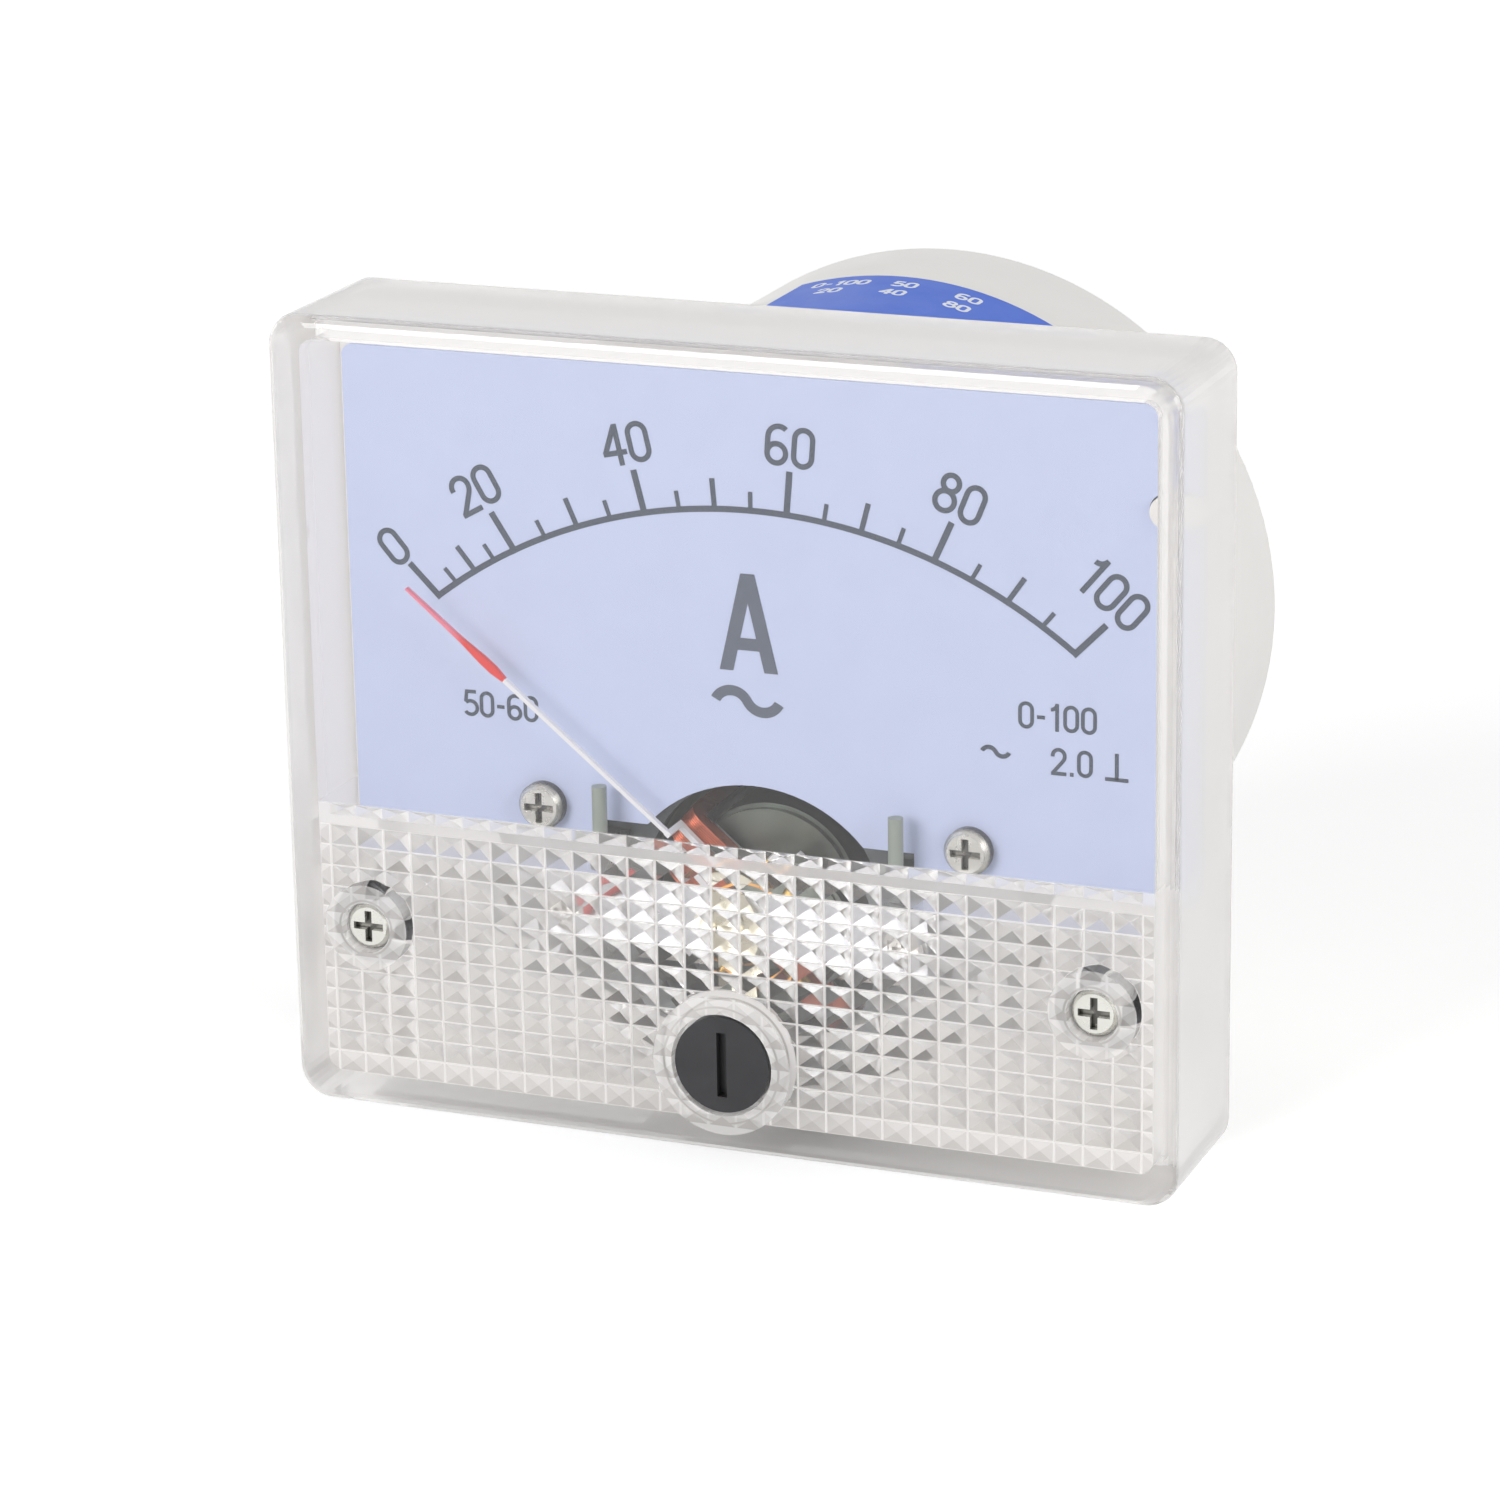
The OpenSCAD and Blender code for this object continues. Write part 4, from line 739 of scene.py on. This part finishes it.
def print_scale():
    bm = bmesh.new()
    start = on_arc(0)
    radial = start - ARC_CENTRE
    heading = Vector((radial.z, 0, -radial.x))
    bent_bar(bm, start, heading, [(ARC_CENTRE, scale_angle(100) - scale_angle(0), 72)], ARC_W)
    for reading in range(0, 101, 5):
        foot = on_arc(reading, ARC_R - ARC_W / 2)
        length, width = next(size for step, size in MARKS.items() if reading % step == 0)
        bar(bm, foot, foot - FAN_CENTRE, (length + 0.2) * MM, width * MM, depth=1.3 * INK_T)
    finished(bm, "scale_printing", "case", ink)


def pen_stroke(bm, x, z, heading, moves, width, depth):
    """Draws one stroke: straight lengths, and turns of a radius and an angle, positive to the right."""
    place = Vector((x, 0, z))
    tilt = Matrix.Rotation(math.radians(heading), 4, "Y")
    section = flat_section(bm, place, tilt, width, depth)
    for move in moves:
        if len(move) == 1:
            step = tilt @ Vector((0, 0, 1)) * move[0]
            section = sweep(bm, section, place, 0, 1, step=step)
            place = place + step
        else:
            radius, angle = move
            centre = place + tilt @ Vector((1, 0, 0)) * math.copysign(radius, angle)
            turn = Matrix.Rotation(math.radians(angle), 4, "Y")
            section = sweep(bm, section, centre, math.radians(angle), max(2, round(abs(angle) / 12)))
            place = centre + turn @ (place - centre)
            tilt = turn @ tilt


def numbers(text, place, height, turn=0.0, width=0.37):
    """Plain figures as a bmesh, centred on a place; strokes that cross differ in depth."""
    scale = height / FIGURE_H
    bm = bmesh.new()
    pen = 0.0
    for sign in text:
        advance, strokes = FIGURES[sign]
        for layer, (x, z, heading, moves) in enumerate(strokes):
            depth = INK_T / MM * (1 + 0.2 * layer)
            pen_stroke(bm, pen + advance / 2 + x, z, heading, moves, width / scale, depth)
        pen += advance
    sized = Matrix.Diagonal((scale * MM, MM, scale * MM, 1))
    bmesh.ops.transform(bm, verts=bm.verts, matrix=Matrix.Translation(place) @ Matrix.Rotation(turn, 4, "Y")
                        @ sized @ Matrix.Translation((-pen / 2, 0, 0)))
    return bm


def gather(parts):
    whole = bmesh.new()
    for part in parts:
        mesh = bpy.data.meshes.new("part")
        part.to_mesh(mesh)
        part.free()
        whole.from_mesh(mesh)
        bpy.data.meshes.remove(mesh)
    return whole


def on_dial(x, z):
    return Vector((x * MM, ink_y, z * MM))


def print_numerals():
    parts = []
    for reading, (x, z) in NUMERAL_PLACES.items():
        away = on_arc(reading) - FAN_CENTRE
        turn = math.atan2(away.x, away.z) * NUMERAL_LEAN
        parts.append(numbers(str(reading), on_dial(x, z), FIGURE_H, turn=turn))
    finished(gather(parts), "scale_numerals", "case", ink)


def sine_sign(bm, x, z, length, width):
    """Two arcs end to end: a hump and a hollow."""
    half = math.radians(62)
    radius = length / 4 / math.sin(half)
    lift = radius * math.cos(half)
    left = Vector((x - length / 4, ink_y, z - lift))
    right = Vector((x + length / 4, ink_y, z + lift))
    start = left + radius * Vector((-math.sin(half), 0, math.cos(half)))
    heading = Vector((math.cos(half), 0, math.sin(half)))
    bent_bar(bm, start, heading, [(left, 2 * half, 14), (right, -2 * half, 14)], width)


def close_cut(bm, cut):
    bmesh.ops.edgeloop_fill(bm, edges=[e for e in cut["geom_cut"] if isinstance(e, bmesh.types.BMEdge)])


def print_unit():
    """A large A, its legs cut off level at foot and top, with a sine sign under it."""
    bm = bmesh.new()
    foot, top, leg_w = 4.1 * MM, 10.9 * MM, 0.95 * MM
    middle = -0.2 * MM
    for side in (-1, 1):
        start = Vector((middle + side * 1.85 * MM, ink_y, foot - MM))
        lean = Vector((-side * 0.235, 0, 1))
        bar(bm, start, lean, top - foot + 2.4 * MM, leg_w, depth=INK_T * (1.2 + 0.2 * side))
    bar(bm, on_dial(-1.5, 6.0), Vector((1, 0, 0)), 2.6 * MM, 0.85 * MM, depth=1.6 * INK_T)
    for z, up in ((foot, -1), (top, 1)):
        cut = bmesh.ops.bisect_plane(bm, geom=bm.verts[:] + bm.edges[:] + bm.faces[:], plane_co=(0, 0, z),
                                     plane_no=(0, 0, up), clear_outer=True)
        close_cut(bm, cut)
    sine_sign(bm, -0.35 * MM, 2.0 * MM, 4.6 * MM, 0.72 * MM)
    finished(bm, "unit_printing", "case", grey_ink)


def print_small_marks():
    parts = [
        numbers("50-60", on_dial(-18.6, -0.1), SMALL_H, width=SMALL_W),
        numbers("0-100", on_dial(21.6, 3.0), SMALL_H, width=SMALL_W),
        numbers("2.0", on_dial(22.6, 0.0), SMALL_H, width=SMALL_W)]
    signs = bmesh.new()
    sine_sign(signs, 17.3 * MM, 0.25 * MM, 1.9 * MM, 0.3 * MM)
    bar(signs, on_dial(25.7, -0.85), Vector((0, 0, 1)), 1.8 * MM, 0.26 * MM)
    bar(signs, on_dial(24.9, -0.85), Vector((1, 0, 0)), 1.6 * MM, 0.26 * MM)
    parts.append(signs)
    finished(gather(parts), "small_printing", "case", ink)


def lathe(bm, x, z, outline):
    """Turns a closed outline of (reach, place along Y) pairs about an axis at x, z."""
    verts = [bm.verts.new((x + reach, y, z)) for reach, y in outline]
    edges = [bm.edges.new((a, b)) for a, b in zip(verts, verts[1:] + verts[:1])]
    bmesh.ops.spin(bm, geom=verts + edges, cent=(x, 0, z), axis=ACROSS_Y, dvec=(0, 0, 0),
                   angle=2 * math.pi, steps=48, use_merge=True)


def cut_and_close(bm, verts, place, outwards):
    """Takes off what lies outwards of a plane through the place."""
    faces = list({f for v in verts if v.is_valid for f in v.link_faces})
    edges = list({e for f in faces for e in f.edges})
    geom = [v for v in verts if v.is_valid] + edges + faces
    cut = bmesh.ops.bisect_plane(bm, geom=geom, dist=1e-8, plane_co=place, plane_no=outwards, clear_outer=True)
    close_cut(bm, cut)


def thread(x, z, start, end, radius, pitch, chamfer):
    """A rod with a V thread cut in it, as a bmesh, with its far end chamfered."""
    bm = bmesh.new()
    core = radius - THREAD_DEPTH * pitch
    first = start - pitch
    outline = ((core, 0), (core, 0.25), (radius, 0.5625), (radius, 0.6875), (core, 1))
    verts = [bm.verts.new((x + reach, first + share * pitch, z)) for reach, share in outline]
    edges = [bm.edges.new(pair) for pair in zip(verts, verts[1:])]
    turns = math.ceil((end - start) / pitch) + 2
    bmesh.ops.spin(bm, geom=verts + edges, cent=(x, 0, z), axis=ACROSS_Y, dvec=(0, pitch / THREAD_STEPS, 0),
                   angle=2 * math.pi * turns, steps=THREAD_STEPS * turns)
    bmesh.ops.remove_doubles(bm, verts=bm.verts, dist=1e-7)
    cut_and_close(bm, bm.verts[:], (0, start, 0), (0, -1, 0))
    cut_and_close(bm, bm.verts[:], (0, end, 0), (0, 1, 0))
    for v in bm.verts:
        reach = math.hypot(v.co.x - x, v.co.z - z)
        most = radius - max(0.0, v.co.y - end + chamfer)
        if reach > most:
            v.co.x = x + (v.co.x - x) * most / reach
            v.co.z = z + (v.co.z - z) * most / reach
    return bm


def thread_mounting_studs():
    low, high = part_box("mounting_studs")
    collar_r = (high.z - low.z) / 2
    stud_x, stud_z = high.x - collar_r, (low.z + high.z) / 2
    edge, bore = 0.25 * MM, 1.05 * MM
    parts = []
    for side in (-1, 1):
        collar = bmesh.new()
        lathe(collar, side * stud_x, stud_z, [
            (bore + edge, low.y), (collar_r - edge, low.y), (collar_r, low.y + edge), (collar_r, -edge),
            (collar_r - edge, 0), (bore, 0), (bore, low.y + edge)])
        parts.append(collar)
        parts.append(thread(side * stud_x, stud_z, -0.3 * MM, high.y, 1.5 * MM, 0.5 * MM, 0.45 * MM))
    return finished(gather(parts), "threaded_mounting_studs", "case", zinc, sharp=28)


def hexagon_block(x, z, start, end, corner_r, chamfered):
    """A hexagon bar with its corners turned off at one end or both."""
    bm = bmesh.new()
    upright = Matrix.Rotation(math.pi / 2, 4, "X") @ Matrix.Rotation(math.pi / 6, 4, "Z")
    bmesh.ops.create_cone(bm, cap_ends=True, segments=6, radius1=corner_r, radius2=corner_r, depth=end - start,
                          matrix=Matrix.Translation((x, (start + end) / 2, z)) @ upright)
    flat_r = corner_r * HEX_CORNER
    for up in chamfered:
        face_y = end if up > 0 else start
        for step in range(12):
            around = math.radians(30 * step)
            out = Vector((math.cos(around), 0, math.sin(around)))
            place = Vector((x, face_y, z)) + out * flat_r * 0.99
            cut_and_close(bm, bm.verts[:], place, out * 0.5 + Vector((0, up, 0)) * 0.866)
    return bm


def thread_terminals():
    low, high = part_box("terminal_studs")
    board_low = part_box("circuit_board")[0]
    corner_r = (high.z - low.z) / 2 / HEX_CORNER
    stud_x = high.x - corner_r
    parts = []
    for side in (-1, 1):
        parts.append(hexagon_block(side * stud_x, 0, low.y, board_low.y, corner_r, (-1,)))
        parts.append(thread(side * stud_x, 0, board_low.y - 0.2 * MM, high.y, 2 * MM, 0.7 * MM, 0.6 * MM))
    return finished(gather(parts), "threaded_terminals", "case", brass, sharp=28)


def chamfer_nuts():
    low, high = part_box("terminal_nuts")
    corner_r = (high.z - low.z) / 2 / HEX_CORNER
    stud_x = high.x - corner_r
    parts = []
    for side in (-1, 1):
        for start in (low.y, high.y - NUT_T):
            parts.append(hexagon_block(side * stud_x, 0, start, start + NUT_T, corner_r, (-1, 1)))
    return finished(gather(parts), "chamfered_nuts", "case", zinc, sharp=20)


def lay_red_lead():
    """From the left bridge screw, across the front bridge and back over its upper edge."""
    bm = bmesh.new()
    start = Vector((LEAD_START[0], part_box("front_bridge")[0].y - LEAD_R, LEAD_START[1]))
    first, last = math.radians(30), math.radians(80)
    facing = Matrix.Translation(start) @ Matrix.Rotation(first, 4, "Y")
    section = new_faces(bmesh.ops.create_circle(bm, cap_ends=True, segments=12, radius=LEAD_R, matrix=facing))
    centre = start + LEAD_BEND_R * Vector((math.cos(first), 0, -math.sin(first)))
    section = sweep(bm, section, centre, last - first, 12)
    heading = Vector((math.sin(last), 0, math.cos(last)))
    centre = section[0].calc_center_median() + Vector((0, 2 * LEAD_R, 0))
    sweep(bm, section, centre, math.radians(75), 8, axis=heading.cross(Vector(ACROSS_Y)))
    finished(bm, "red_lead", "case", red_sleeving)


def print_label():
    """Plain white figures on the label, in two rows, bent round the case's axis."""
    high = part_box("label")[1]
    reach = high.z + INK_T / 3
    parts = []
    for row, words in enumerate((("0-100", "50", "60"), ("20", "40", "80"))):
        for turn, word in zip((-8, 3, 14), words):
            bm = numbers(word, Vector((0, 0, 0)), 1.5, width=0.26)
            along = high.y - (2.3 + 2.5 * row) * MM
            for v in bm.verts:
                angle = math.radians(turn) + v.co.x / reach
                radius = reach - v.co.y / 2
                v.co = (radius * math.sin(angle), along + v.co.z, radius * math.cos(angle))
            parts.append(bm)
    finished(gather(parts), "label_printing", "case", label_white)


place_camera()
light_studio()
lay_floor()
finish_frame()
print_scale()
print_numerals()
print_unit()
print_small_marks()
print_label()
lay_red_lead()
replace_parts(thread_mounting_studs(), "mounting_studs")
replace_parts(thread_terminals(), "terminal_studs")
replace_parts(chamfer_nuts(), "terminal_nuts")

seen_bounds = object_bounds()
[[list(corner) for corner in box] for box in (frame_bounds, seen_bounds)]

scene.view_settings.view_transform = "Standard"
